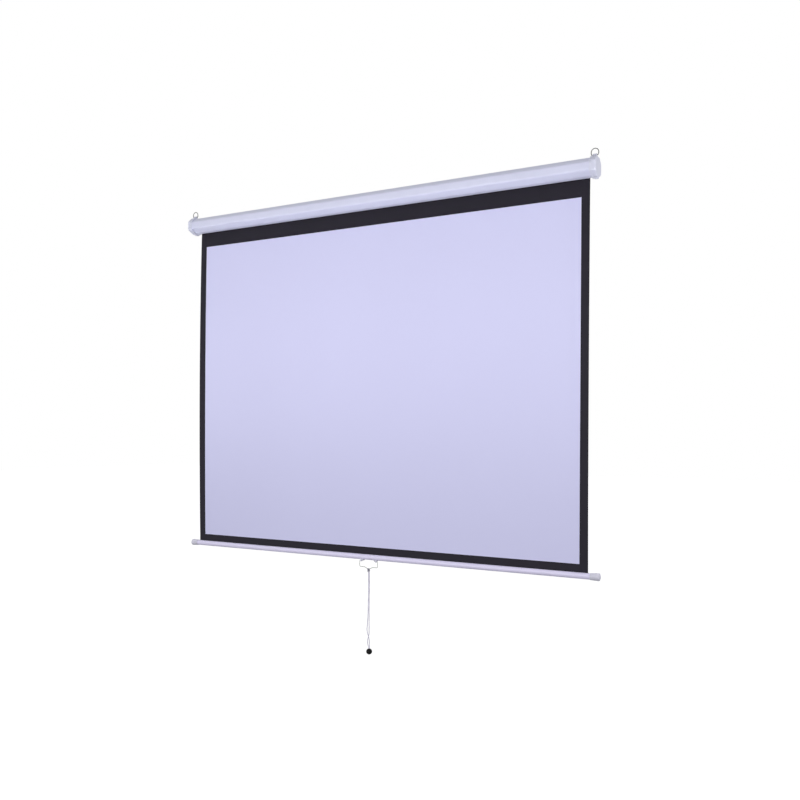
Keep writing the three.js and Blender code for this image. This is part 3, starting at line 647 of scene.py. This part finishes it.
hitch = makeHitch(hitchPlan)
ball = makeBall(ballPlan)
for side, onIt in (("left", [hitch, ball]), ("right", [])):
    strand, path = strands[side]
    path[::cordPlan["pathStep"]].tolist() + [path[-1].tolist()]
print("cord made:", round(lengthOf(strands["left"][1]), 4), round(lengthOf(strands["right"][1]), 4), "m")


# Octagon that the case and its caps share: Y and Z about the roller's axis, anticlockwise from the top
octagonPlan = {
    "axis": -62.7 * mm, "chamferDepth": 21 * mm, "upper": 20 * mm, "lower": 15 * mm,
    "underDepth": 29 * mm, "steps": 9, "tighten": 0.5, "leastCorner": 1.5 * mm,
}


def movedIn(corners, inset):
    # an anticlockwise polygon whose edges all move in by the same distance: each corner goes along the
    # sum of its two edges' inward directions
    ahead = unit(np.roll(corners, -1, axis=0) - corners)
    inward = np.stack([-ahead[:, 1], ahead[:, 0]], axis=1)
    before = np.roll(inward, 1, axis=0)
    return corners + inset * (inward + before) / (1 + np.sum(inward * before, axis=1, keepdims=True))


def octagonCorners(plan):
    # a long chamfer under the front, shorter ones elsewhere
    y, z = plan["depth"] / 2, plan["height"] / 2
    flat, underFront = y - octagonPlan["chamferDepth"], octagonPlan["underDepth"] - y
    upper, lower = z - octagonPlan["upper"], octagonPlan["lower"] - z
    top = [[flat, z], [-flat, z]]
    front = [[-y, upper], [-y, lower]]
    underside = [[underFront, -z], [flat, -z]]
    rear = [[y, lower], [y, upper]]
    return np.array([*top, *front, *underside, *rear])


def octagon(plan, inset):
    # the corners moved in and rounded, tighter as the outline gets smaller
    corners = octagonCorners(plan)
    run = max(plan["corner"] - octagonPlan["tighten"] * inset, octagonPlan["leastCorner"])
    return bentLine(movedIn(corners, inset), run, octagonPlan["steps"], closed=True)


def atAxis(points):
    # points worked out about the roller's axis, moved to its height
    return points + np.array([0, 0, octagonPlan["axis"]])


# Case tube: folded sheet, open along a slot under the fabric, each edge of the slot rolled into a bead.
# In the caps the bead shrinks to a little more than the sheet's own edge
casePlan = {
    "depth": 71 * mm, "height": 62.8 * mm, "wall": 1.2 * mm, "corner": 5 * mm, "halfLength": 910 * mm,
    "slotFront": 10.5 * mm, "slotRear": 23.5 * mm, "bead": 1.3 * mm, "beadHalf": 894.7 * mm,
    "beadStep": 0.3 * mm, "beadSteps": 17, "plainEdgeShare": 1.02, "smoothBelow": 28,
}


def caseOutline(plan, bead):
    # the sheet's middle line, from the front bead round the front and top to the rear bead, shifted
    # half a wall each way; each bead is the rest of a circle round the line's end
    halfWall = plan["wall"] / 2
    z = plan["height"] / 2 - halfWall
    flat = plan["depth"] / 2 - octagonPlan["chamferDepth"]
    slope = octagonPlan["lower"] / octagonPlan["chamferDepth"]
    lean = math.atan(slope)
    frontEnd = np.array([plan["slotFront"], -z])
    rearEnd = np.array([plan["slotRear"], -z + (plan["slotRear"] - flat) * slope])
    neck = math.asin(halfWall / bead)
    reach = bead * math.cos(neck)
    corners = movedIn(octagonCorners(plan), halfWall)
    around = [*corners[4::-1], *corners[:5:-1]]
    rearStart = rearEnd + [reach * math.cos(lean), reach * math.sin(lean)]
    line = bentLine([frontEnd + [-reach, 0], *around, rearStart], plan["corner"])
    neckDegrees, leanDegrees = math.degrees(neck), math.degrees(lean)
    rearTurn = leanDegrees - neckDegrees, leanDegrees + neckDegrees - 360
    return np.concatenate([
        shifted(line, -halfWall, closed=False),
        arc(rearEnd, bead, *rearTurn, plan["beadSteps"])[1:-1],
        shifted(line, halfWall, closed=False)[::-1],
        arc(frontEnd, bead, 180 - neckDegrees, neckDegrees - 180, plan["beadSteps"])[1:-1],
    ])


def makeCaseTube(plan):
    # the sheet's outline carried along X, its beads drawn in before the caps
    beaded = caseOutline(plan, plan["bead"])
    plain = caseOutline(plan, plan["wall"] / 2 * plan["plainEdgeShare"])
    places = [plan["beadHalf"], plan["beadHalf"] + plan["beadStep"], plan["halfLength"]]
    right = list(zip(places, [beaded, plain, plain]))
    left = [(-x, outline) for x, outline in right[::-1]]
    points, faces = loft(left + right)
    case = putMesh("case_shell", [(atAxis(points), faces)], plan["smoothBelow"])
    return dress(case, "white_paint", "case", "case_tube")


# End caps: a moulded cup with a rim band, a rounded end, a lug for the ring and a rest foot. The flat
# ends have a narrow rim, which keeps the smoothing of their edges off the middle
capPlan = {
    "depth": 75 * mm, "height": 71.8 * mm, "corner": 6 * mm, "mouth": 895 * mm, "mouthSteps": 4,
    "band": 11 * mm, "bandStep": 0.6 * mm, "bandLipShare": 0.3, "outer": 918.5 * mm, "edge": 5.5 * mm,
    "edgeSteps": 9, "faceRim": 0.8 * mm, "shelf": 910 * mm, "wall": 4.4 * mm, "hollow": 7 * mm,
    "floorRim": 1 * mm, "endWall": 3 * mm, "soften": 0.5 * mm, "gap": 0.3 * mm, "smoothBelow": 30,
    "tabSoften": 0.9 * mm, "tabSteps": 5, "tabRimShare": 0.25,
    "lugX": 905.5 * mm, "lugLength": 15 * mm, "lugTop": 41.1 * mm, "lugRadius": 4.6 * mm,
    "lugBase": 8 * mm, "lugSteps": 25, "bore": 1.9 * mm, "boreTurns": 24,
    "footX": 907.5 * mm, "footLength": 14 * mm, "footFront": 5 * mm, "footRear": 20 * mm,
    "footLow": -36.9 * mm, "footRound": 1.2 * mm, "footSteps": 5,
    "screwX": 900.5 * mm, "screwZ": (3.5 * mm, -8.5 * mm), "screwRadius": 1.8 * mm,
    "screwDepth": 6 * mm, "sink": 3.9 * mm, "sinkDepth": 1.7 * mm, "sinkOver": 1 * mm, "sinkTurns": 32,
}


def quarter(count):
    # pairs of (share of the edge run, share of the inset) round a quarter circle
    turn = np.linspace(0, math.pi / 2, count)
    return np.stack([np.sin(turn), 1 - np.cos(turn)], axis=1)


def tab(outline, middle, length, plan):
    # an outline run along X with both ends rounded over
    half, soften = length / 2, plan["tabSoften"]
    ends = [(half - soften + soften * run, inset * soften) for run, inset in quarter(plan["tabSteps"])]
    ends.append((half, soften + plan["tabRimShare"] * soften))
    loops = [(middle - x, shifted(outline, -inset)) for x, inset in ends[::-1]]
    loops += [(middle + x, shifted(outline, -inset)) for x, inset in ends]
    return loft(loops)


def capLoops(plan):
    # the cup as a run of outlines: inside of the end wall, shelf, socket, rim, band, rounded end
    soft, mouth, hollow = plan["soften"], plan["mouth"], plan["hollow"]
    floor, bandEnd = plan["outer"] - plan["endWall"], mouth + plan["band"]
    bevelFrom, bandLip = plan["outer"] - plan["edge"], plan["bandLipShare"] * soft
    run = [(floor, hollow + plan["floorRim"]), (floor, hollow), (plan["shelf"], hollow)]
    loops = [(x, octagon(plan, inset)) for x, inset in run]
    run = [(plan["shelf"], -plan["gap"]), (mouth + soft, -plan["gap"]), (mouth, -plan["gap"] - soft)]
    loops += [(x, octagon(casePlan, inset)) for x, inset in run]
    run = [(mouth + soft * (1 - along), soft * inset) for along, inset in quarter(plan["mouthSteps"])[::-1]]
    run += [(bandEnd - bandLip, 0), (bandEnd, bandLip), (bandEnd, plan["bandStep"])]
    run += [(bandEnd + soft, plan["bandStep"]), (bevelFrom - soft, plan["bandStep"])]
    run += [(bevelFrom + plan["edge"] * along, plan["bandStep"] + plan["edge"] * inset)
            for along, inset in quarter(plan["edgeSteps"])]
    run.append((plan["outer"], plan["bandStep"] + plan["edge"] + plan["faceRim"]))
    return loops + [(x, octagon(plan, inset)) for x, inset in run]


def booleanWith(target, tool, operation):
    # joins or cuts two closed meshes and keeps the result as the target's own mesh
    step = target.modifiers.new("cut", "BOOLEAN")
    step.operation, step.solver, step.object = operation, "MANIFOLD", tool
    graph = bpy.context.evaluated_depsgraph_get()
    made = bpy.data.meshes.new_from_object(target.evaluated_get(graph))
    target.modifiers.clear()
    target.data = made
    bpy.data.objects.remove(tool)


def makeLug(plan):
    # a thick plate: straight sides that lean in to a half circle round the ring's foot
    base = plan["height"] / 2 - plan["wall"] / 2
    crown = arc((0, plan["lugTop"]), plan["lugRadius"], 0, 180, plan["lugSteps"])
    outline = np.concatenate([[[-plan["lugBase"], base], [plan["lugBase"], base]], crown])
    return putMesh("lug", [tab(outline, plan["lugX"], plan["lugLength"], plan)])


def makeFoot(plan):
    # a small block with rounded corners under the cap, from inside its wall down to the rest
    high = -plan["height"] / 2 + plan["wall"] / 2
    corners = [
        [plan["footFront"], high], [plan["footFront"], plan["footLow"]],
        [plan["footRear"], plan["footLow"]], [plan["footRear"], high],
    ]
    outline = bentLine(corners, plan["footRound"], plan["footSteps"], closed=True)
    return putMesh("foot", [tab(outline, plan["footX"], plan["footLength"], plan)])


def makeBore(plan):
    # the ring's hole through the lug, longer than the lug
    reach = plan["lugLength"]
    profile = [[0, -reach], [plan["bore"], -reach], [plan["bore"], reach], [0, reach]]
    centre = (plan["lugX"], 0, plan["lugTop"])
    return putMesh("bore", [revolve(profile, plan["boreTurns"], centre)], weld=weldGap)


def makeSink(plan, height):
    # a screw's hole and countersink, turned about Y from the cap's rear face
    profile = [
        [0, -plan["screwDepth"]], [plan["screwRadius"], -plan["screwDepth"]],
        [plan["screwRadius"], -plan["sinkDepth"]], [plan["sink"], 0],
        [plan["sink"], plan["sinkOver"]], [0, plan["sinkOver"]],
    ]
    points, faces = revolve(profile, plan["sinkTurns"], axis="z")
    rear = plan["depth"] / 2
    points = np.stack([points[:, 0] + plan["screwX"], points[:, 2] + rear, points[:, 1] + height], axis=1)
    return putMesh("sink", [(points, faces)], weld=weldGap)


def makeEndCap(side, plan):
    # built as the right cap; the left one is its mirror image
    cap = putMesh(side + "_cap_moulding", [loft(capLoops(plan))], allSmooth)
    booleanWith(cap, makeLug(plan), "UNION")
    booleanWith(cap, makeFoot(plan), "UNION")
    booleanWith(cap, makeBore(plan), "DIFFERENCE")
    for height in plan["screwZ"]:
        booleanWith(cap, makeSink(plan, height), "DIFFERENCE")
    points = atAxis(vertexArray(cap))
    points[:, 0] *= sideSigns[side]
    cap.data.vertices.foreach_set("co", points.astype(np.float32).ravel())
    if side == "left":
        cap.data.flip_normals()
    smoothed(cap.data, plan["smoothBelow"])
    return dress(cap, "white_plastic", "case", side + "_end_cap")


makeCaseTube(casePlan)
for side in sideSigns:
    makeEndCap(side, capPlan)
print("case and caps made")


# Hanging rings: closed wire with a round crown, drawn in to a straight foot through the lug
ringPlan = {
    "wire": 1.6 * mm, "crown": 13.2 * mm, "legDrop": 10 * mm, "footHalf": 8.4 * mm,
    "lug": np.array([905.5, 0, -21.6]) * mm, "sides": 20, "steps": 200,
    "crownSteps": 60, "legSteps": 30, "footSteps": 8,
}


def makeRing(side, plan):
    # crown: half a circle. legs: quadratic curves in to the foot. foot: straight
    crown = arc((0, plan["legDrop"]), plan["crown"], 0, 180, plan["crownSteps"])
    t = np.linspace(0, 1, plan["legSteps"])[1:, None]
    corner = np.array([-plan["crown"], 0.0])
    footEnd = np.array([-plan["footHalf"], 0.0])
    leg = quadratic(t, crown[-1], corner, footEnd)
    otherLeg = (leg * [-1, 1])[::-1]
    foot = np.linspace(footEnd, -footEnd, plan["footSteps"])[1:-1]
    outline = np.concatenate([crown, leg, foot, otherLeg])
    outline = np.stack([outline[:, 0], 0 * outline[:, 0], outline[:, 1]], axis=1)
    path = spacedEvenly(np.concatenate([outline, outline[:1]]), plan["steps"] + 1)[:-1]
    middle = plan["lug"] * [sideSigns[side], 1, 1]
    parts = sweep(path + middle, ringOutline(plan["wire"], plan["sides"]), closed=True)
    ring = putMesh(side + "_ring_wire", [parts], allSmooth)
    return dress(ring, "bright_steel", side + "_ring", side + "_hanging_ring")


for side in sideSigns:
    makeRing(side, ringPlan)
print("rings made")


# Hanging fabric, from the roll to the bar, its white face a coat on the front. The lead is the stretch
# inside the case, and the folds and slants are waves in radians a metre
sheetPlan = {
    "halfWidth": 884.5 * mm, "top": -62.7 * mm, "leadEnd": -80 * mm, "bottom": -1435.6 * mm,
    "plane": 18 * mm, "thickness": 0.5 * mm, "cell": 10 * mm, "leadRows": 3, "smoothBelow": 40,
    "viewHalf": 853.5 * mm, "viewTop": -155.6 * mm, "coat": 0.15 * mm, "coatGap": 0.02 * mm,
    "slack": -101.6 * mm, "slackEase": 0.8, "leftCurl": 9.3 * mm, "leftReach": 110 * mm,
    "rightCurl": 6.0 * mm, "rightReach": 26 * mm, "wave": 1.1 * mm,
    "foldAcross": 9.0, "foldAcrossStart": 1.3, "foldDown": 3.1, "foldDownStart": 0.4,
    "slantShare": 0.6, "slantAcross": 21.0, "slantDown": 2.0,
    "travel": 1357.168 * mm, "leadPile": -78.1 * mm,
}


def sheetForward(x, z):
    # how far the cloth stands forward of its plane. It is nothing at the case and at the bar, and
    # between them both edges curl forward and slow waves run down the cloth
    plan = sheetPlan
    down = np.clip((plan["slack"] - z) / (plan["slack"] - plan["bottom"]), 0, 1)
    free = np.sin(math.pi * down) ** plan["slackEase"]
    fromLeft, fromRight = x + plan["halfWidth"], plan["halfWidth"] - x
    curl = plan["leftCurl"] * np.exp(-fromLeft / plan["leftReach"])
    curl += plan["rightCurl"] * np.exp(-fromRight / plan["rightReach"])
    folds = np.sin(plan["foldAcross"] * x + plan["foldAcrossStart"])
    folds = folds * np.sin(plan["foldDown"] * z + plan["foldDownStart"])
    slants = plan["slantShare"] * np.sin(plan["slantAcross"] * x + plan["slantDown"] * z)
    return free * (curl + plan["wave"] * (folds + slants))


def hangingFlat(x, z):
    # nothing forward of the plane
    return 0 * x


def gradedLine(start, end, cell, marks=()):
    # evenly spaced values from start to end that also pass through the marks
    stops = [start, *marks, end]
    pieces = []
    for near, far in zip(stops, stops[1:]):
        count = max(2, int(round(abs(far - near) / cell)) + 1)
        pieces.append(np.linspace(near, far, count)[:-1])
    return np.concatenate([*pieces, [end]])


def makeCloth(name, across, down, front, thickness, forward):
    # two grids, front and back, joined round the edge; forward(x, z) is how far they stand forward
    x, z = np.meshgrid(across, down)
    bulge = forward(x, z)
    rows, columns = x.shape
    near = np.stack([x, front - bulge, z], axis=-1).reshape(-1, 3)
    far = np.stack([x, front + thickness - bulge, z], axis=-1).reshape(-1, 3)
    count = rows * columns
    index = np.arange(count).reshape(rows, columns)
    edge = np.concatenate([index[0], index[1:, -1], index[-1, -2::-1], index[-2:0:-1, 0]])
    nextEdge = np.roll(edge, -1)
    rim = np.stack([edge, nextEdge, nextEdge + count, edge + count], axis=1)
    sides = [gridFaces(rows, columns, joinColumns=False, first=first) for first in (0, count)]
    cloth = putMesh(name, [(np.concatenate([near, far]), [*sides, rim])], sheetPlan["smoothBelow"])
    writeUv(cloth, np.tile(x.ravel(), 2), np.tile(z.ravel(), 2))
    return cloth


def rollUp(piece, raisedEnd):
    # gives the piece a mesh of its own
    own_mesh(piece)


def makeSheet(plan):
    # the sheet starts inside the case, level with the roll's underside, and the lead joins it to the roll
    view = plan["viewHalf"]
    across = gradedLine(-plan["halfWidth"], plan["halfWidth"], plan["cell"], (-view, view))
    down = gradedLine(plan["leadEnd"], plan["bottom"], plan["cell"], (plan["viewTop"],))
    front = plan["plane"] - plan["thickness"] / 2
    sheet = makeCloth("screen_sheet", across, down, front, plan["thickness"], sheetForward)
    leadDown = np.linspace(plan["top"], plan["leadEnd"], plan["leadRows"])
    lead = makeCloth("sheet_lead", across, leadDown, front, plan["thickness"], sheetForward)
    inView = across[(across > -view - weldGap) & (across < view + weldGap)]
    downView = down[down < plan["viewTop"] + weldGap]
    coat = plan["coat"] - plan["coatGap"]
    face = makeCloth("white_view", inView, downView, front - plan["coat"], coat, sheetForward)
    dress(sheet, "black_cloth", "case", "screen_fabric")
    dress(lead, "black_cloth", "case")
    dress(face, "white_cloth", "case", "white_facing")
    for piece in (sheet, face):
        rollUp(piece, plan["bottom"] + plan["travel"])
    rollUp(lead, plan["leadPile"])
    return sheet, lead, face


rollPlan = {
    "inner": 16.25 * mm, "thickness": 0.46 * mm, "pitch": 0.5 * mm, "turns": 2.25,
    "stepDegrees": 3, "cell": 60 * mm, "smoothBelow": 30,
}


def makeRoll(plan):
    # the turns left on the roller: a spiral whose radius grows by one pitch a turn and which ends
    # where the cloth leaves it; two lines of points, inner and outer, run along X
    count = int(plan["turns"] * 360 / plan["stepDegrees"])
    turn = np.linspace(-plan["turns"] * fullTurn, 0, count)
    radius = plan["inner"] + plan["pitch"] * (plan["turns"] + turn / fullTurn)
    inner = np.stack([radius * np.cos(turn), radius * np.sin(turn)], axis=1)
    outer = inner * (1 + plan["thickness"] / radius)[:, None]
    half = sheetPlan["halfWidth"]
    across = np.linspace(-half, half, int(2 * half / plan["cell"]))
    line = np.concatenate([outer, inner[::-1]])
    grid = np.stack([np.column_stack([np.full(len(line), x), line]) for x in across]).reshape(-1, 3)
    first = np.arange(count - 1)
    endCap = np.stack([first, first + 1, 2 * count - 2 - first, 2 * count - 1 - first], axis=1)
    faces = [gridFaces(len(across), 2 * count), endCap, endCap + (len(across) - 1) * 2 * count]
    roll = putMesh("wound_cloth", [(atAxis(grid), faces)], plan["smoothBelow"])
    length = np.concatenate([turn * radius, (turn * radius)[::-1]])
    writeUv(roll, grid[:, 0], np.tile(length, len(across)))
    return dress(roll, "black_cloth", "roller", "fabric_roll")


stripPlan = {"top": -1435.6 * mm, "bottom": -1465.8 * mm, "cell": 4 * mm}


def makeLowerBorder(plan):
    # the same cloth below the white face, down into the bar's slot
    across = gradedLine(-sheetPlan["halfWidth"], sheetPlan["halfWidth"], sheetPlan["cell"])
    down = gradedLine(plan["top"], plan["bottom"], plan["cell"])
    front = sheetPlan["plane"] - sheetPlan["thickness"] / 2
    strip = makeCloth("lower_border_strip", across, down, front, sheetPlan["thickness"], hangingFlat)
    return dress(strip, "black_cloth", "bottom_bar", "lower_border")


sheet, lead, face = makeSheet(sheetPlan)
makeRoll(rollPlan)
makeLowerBorder(stripPlan)
print("fabric made")


# Bottom bar: a slotted tube, flared caps, clips and the wire handle
barPlan = {
    "radius": 11.1 * mm, "wall": 1.2 * mm, "halfLength": 899 * mm, "slot": 2.4 * mm,
    "axis": np.array([0, 18, -1475.7]) * mm, "steps": 72, "lipSteps": 9, "endBand": 10 * mm,
    "smoothBelow": 28,
}


def makeBarTube(plan):
    # a tube outline open at the top, its edges rounded, carried along X
    halfWall = plan["wall"] / 2
    middle = plan["radius"] - halfWall
    opening = math.degrees(math.asin((plan["slot"] / 2 + halfWall) / middle))
    edge = 90 - opening
    outer = arc((0, 0), plan["radius"], edge, -270 + opening, plan["steps"])
    inner = arc((0, 0), plan["radius"] - plan["wall"], -270 + opening, edge, plan["steps"])
    lip = np.array([middle * math.cos(math.radians(edge)), middle * math.sin(math.radians(edge))])
    right = arc(lip, halfWall, edge + 180, edge + 360, plan["lipSteps"])[1:-1]
    left = arc(lip * [-1, 1], halfWall, 90 + opening, 90 + opening + 180, plan["lipSteps"])[1:-1]
    outline = np.concatenate([outer, left, inner, right])
    end, inside = plan["halfLength"], plan["halfLength"] - plan["endBand"]
    points, faces = loft([(x, outline) for x in (-end, -inside, inside, end)])
    tube = putMesh("bar_tube_shell", [(points + plan["axis"], faces)], plan["smoothBelow"])
    return dress(tube, "white_paint", "bottom_bar", "bar_tube", finish="bar_paint")


barCapPlan = {
    "from": 893 * mm, "length": 36 * mm, "mouth": 11.4 * mm, "wall": 0.8 * mm, "floor": 899.3 * mm,
    "lip": 0.35 * mm, "lipDepth": 2 * mm, "lipSteps": 5, "flare": 1.5 * mm, "flareFrom": 1.6 * mm,
    "flareTo": 2.6 * mm, "flareStart": 0.3 * mm, "edge": 3 * mm, "edgeSteps": 9, "dome": 6 * mm,
    "domeSteps": 14, "turns": 72, "smoothBelow": 30,
}


def makeBarCap(side, plan):
    # mouth, rim lip, a slow flare, a rounded edge and a shallow dome, turned about the bar
    start, end = plan["from"], plan["from"] + plan["length"]
    mouth, rim = plan["mouth"], plan["mouth"] + plan["wall"]
    widest, inside = rim + plan["flare"], start + plan["lipDepth"]
    edgeFrom = end - plan["dome"] / 2 - plan["edge"]
    lipCorners = [[mouth, inside], [mouth, start], [rim, start], [rim, inside]]
    lip = bentLine(lipCorners, plan["lip"], plan["lipSteps"])
    flare = [[rim, start + plan["flareFrom"]], [rim + plan["flareStart"], start + plan["flareTo"]]]
    edge = arc((widest - plan["edge"], edgeFrom), plan["edge"], 0, 90, plan["edgeSteps"])
    toMiddle = np.linspace(0, 1, plan["domeSteps"])[1:, None]
    rise = (end - edge[-1, 1]) * (1 - (1 - toMiddle) ** 2)
    dome = np.concatenate([edge[-1, 0] * (1 - toMiddle), edge[-1, 1] + rise], axis=1)
    profile = np.concatenate([[[0, plan["floor"]], [mouth, plan["floor"]]], lip[:-1], flare, edge, dome])
    profile[:, 1] *= sideSigns[side]
    parts = revolve(profile, plan["turns"], barPlan["axis"])
    cap = putMesh(side + "_bar_end", [parts], plan["smoothBelow"], weld=weldGap)
    return dress(cap, "grey_plastic", "bottom_bar", side + "_bar_cap")


handlePlan = {
    "pivot": np.array([0, 11.589, -1490.25]) * mm, "wire": 1.5 * mm, "start": 32.6 * mm,
    "half": 41.5 * mm, "leg": 24 * mm, "shoulder": 16 * mm, "shoulderDrop": 24.5 * mm,
    "neckHalf": 3.4 * mm, "neckDrop": 32.4 * mm, "bends": np.array([6.5, 6, 5, 3.2]) * mm,
    "bendSteps": 12, "steps": 240, "sides": 16, "smoothBelow": 60,
}


def makeHandle(plan):
    # half the wire's corners, mirrored, with a bend at each but the ends
    half = [
        [plan["start"], 0], [plan["half"], 0], [plan["half"], -plan["leg"]],
        [plan["shoulder"], -plan["shoulderDrop"]], [plan["neckHalf"], -plan["neckDrop"]],
    ]
    corners = np.array([[-x, 0, z] for x, z in half] + [[x, 0, z] for x, z in half[::-1]])
    bends = np.concatenate([plan["bends"], plan["bends"][::-1]])[:, None]
    line = bentLine(corners, bends, plan["bendSteps"], support=0)
    path = spacedEvenly(line, plan["steps"]) + plan["pivot"]
    parts = sweep(path, ringOutline(plan["wire"], plan["sides"]))
    wire = putMesh("handle_wire_bail", [parts], plan["smoothBelow"])
    return dress(wire, "bright_steel", "handle", "pull_handle", finish="light_wire")


clipPlan = {"soften": 0.25 * mm, "segments": 2, "flatBelow": 1, "softenAbove": 40, "smoothBelow": 50}


def makeClip(side, plan):
    # a merged copy of the CAD clip with its flat faces joined and its edges rounded over
    node = side + "_handle_clip"
    clip = addObject(side + "_clip_moulding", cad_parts[node].data.copy())
    work = bmesh.new()
    work.from_mesh(clip.data)
    bmesh.ops.remove_doubles(work, verts=work.verts, dist=weldGap)
    flat = math.radians(plan["flatBelow"])
    bmesh.ops.dissolve_limit(work, angle_limit=flat, verts=work.verts, edges=work.edges)
    work.to_mesh(clip.data)
    work.free()
    smoothed(clip.data, plan["smoothBelow"])
    bevel = clip.modifiers.new("edge", "BEVEL")
    bevel.width, bevel.segments, bevel.limit_method = plan["soften"], plan["segments"], "ANGLE"
    bevel.angle_limit = math.radians(plan["softenAbove"])
    bevel.harden_normals = False
    return dress(clip, "grey_plastic", "bottom_bar", node)


makeBarTube(barPlan)
for side in sideSigns:
    makeBarCap(side, barCapPlan)
    makeClip(side, clipPlan)
makeHandle(handlePlan)
print("bar and handle made")


# CAD nodes that keep their own meshes, under the finish that each gets
keptNodes = {
    "dark_steel": ["spring_bearing_plate", "idle_bearing_plate", "spring_spindle", "ratchet_disc"],
    "inner_plastic": ["idle_bush", "spring_anchor", "spring_end_plug", "idle_end_plug", "hem_rod"],
    "bright_steel": ["torsion_spring"],
    "pressed_zinc": [
        "roller_tube", "rear_pawl", "front_pawl", "rear_pawl_rivet", "front_pawl_rivet",
        "left_clip_rivet", "right_clip_rivet", "left_cap_screw_upper", "left_cap_screw_lower",
        "right_cap_screw_upper", "right_cap_screw_lower",
    ],
}
for finishName, nodeNames in keptNodes.items():
    for nodeName in nodeNames:
        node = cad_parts[nodeName]
        node.data.materials.clear()
        node.data.materials.append(finishes[finishName])
print("CAD meshes finished")


# Floor, sky and lamps, whose power is in watts and whose spread is in degrees
stagePlan = {
    "floor": -2.6, "floorHalf": 30.0, "floorRows": 13, "floorTone": (98, 98, 101), "floorGlow": 0.93,
    "sky": 0.52,
}
lampPlans = {
    "key": {
        "place": (0, -2.3, -1.15), "aim": (0, 0, -1.15), "size": (4.0, 1.3), "power": 38.5, "spread": 180,
    },
    "bounce": {
        "place": (0, -2.2, -2.2), "aim": (0, 0, -0.08), "size": (3.4, 0.5), "power": 5.0, "spread": 45,
    },
    "back": {
        "place": (0, 2.6, -0.4), "aim": (0, 0, -0.6), "size": (3.0, 1.2), "power": 26, "spread": 180,
    },
    "rightSide": {
        "place": (3.2, -0.3, -0.5), "aim": (0.9, 0, -0.5), "size": (1.2, 1.4), "power": 26, "spread": 180,
    },
    "leftSide": {
        "place": (-3.2, -0.3, -0.5), "aim": (-0.9, 0, -0.5), "size": (1.2, 1.4), "power": 10, "spread": 180,
    },
}


def seenBy(finish, *rays):
    # 1 for the named kinds of ray, 0 for the rest
    light = finish.node("LightPath").socket.node
    seen, *others = (Value(finish, light.outputs["Is " + ray + " Ray"]) for ray in rays)
    for other in others:
        seen = seen.atLeast(other)
    return seen


def makeFloor(plan):
    # a wide flat square; what the camera sees of it is lifted towards white, and its shade stays
    along = np.linspace(-1, 1, plan["floorRows"]) * plan["floorHalf"]
    x, y = np.meshgrid(along, along)
    points = np.stack([x, y, 0 * x + plan["floor"]], axis=-1).reshape(-1, 3)
    faces = gridFaces(plan["floorRows"], plan["floorRows"], joinColumns=False)
    floor = putMesh("floor", [(points, [faces])])
    paint = Finish("pale_floor")
    floor.data.materials.append(paint.surface({
        "Base Color": shade(plan["floorTone"]),
        "Roughness": 0.9,
        "Emission Color": (1, 1, 1, 1),
        "Emission Strength": seenBy(paint, "Camera", "Glossy") * plan["floorGlow"],
    }))


def makeSky(plan):
    # white where the camera, a gloss or a glass shows it, and a plain soft light for the rest
    world = bpy.data.worlds.new("studio")
    bpy.context.scene.world = world
    world.use_nodes = True
    sky = Finish("studio", world.node_tree)
    strength = plan["sky"] + seenBy(sky, "Camera", "Glossy", "Transmission") * (1 - plan["sky"])
    back = sky.node("Background", sockets={"Color": (1, 1, 1, 1), "Strength": strength})
    sky.node("OutputWorld", sockets={"Surface": back})


def makeLamp(name, plan):
    # a rectangular panel that faces its aim; the first of its two sizes runs level
    lamp = addObject(name, bpy.data.lights.new(name, "AREA"))
    lamp.data.shape = "RECTANGLE"
    lamp.data.size, lamp.data.size_y = plan["size"]
    lamp.data.energy, lamp.data.spread = plan["power"], math.radians(plan["spread"])
    away = unit(np.array(plan["place"]) - np.array(plan["aim"]))
    right = unit(np.cross([0, 0, 1], away))
    lamp.matrix_world = standing(right, np.cross(away, right), away, plan["place"])
    lamp.visible_camera = False


makeFloor(stagePlan)
makeSky(stagePlan)
for name, plan in lampPlans.items():
    makeLamp(name, plan)
bpy.context.scene.view_settings.view_transform = "Standard"
print("stage set")
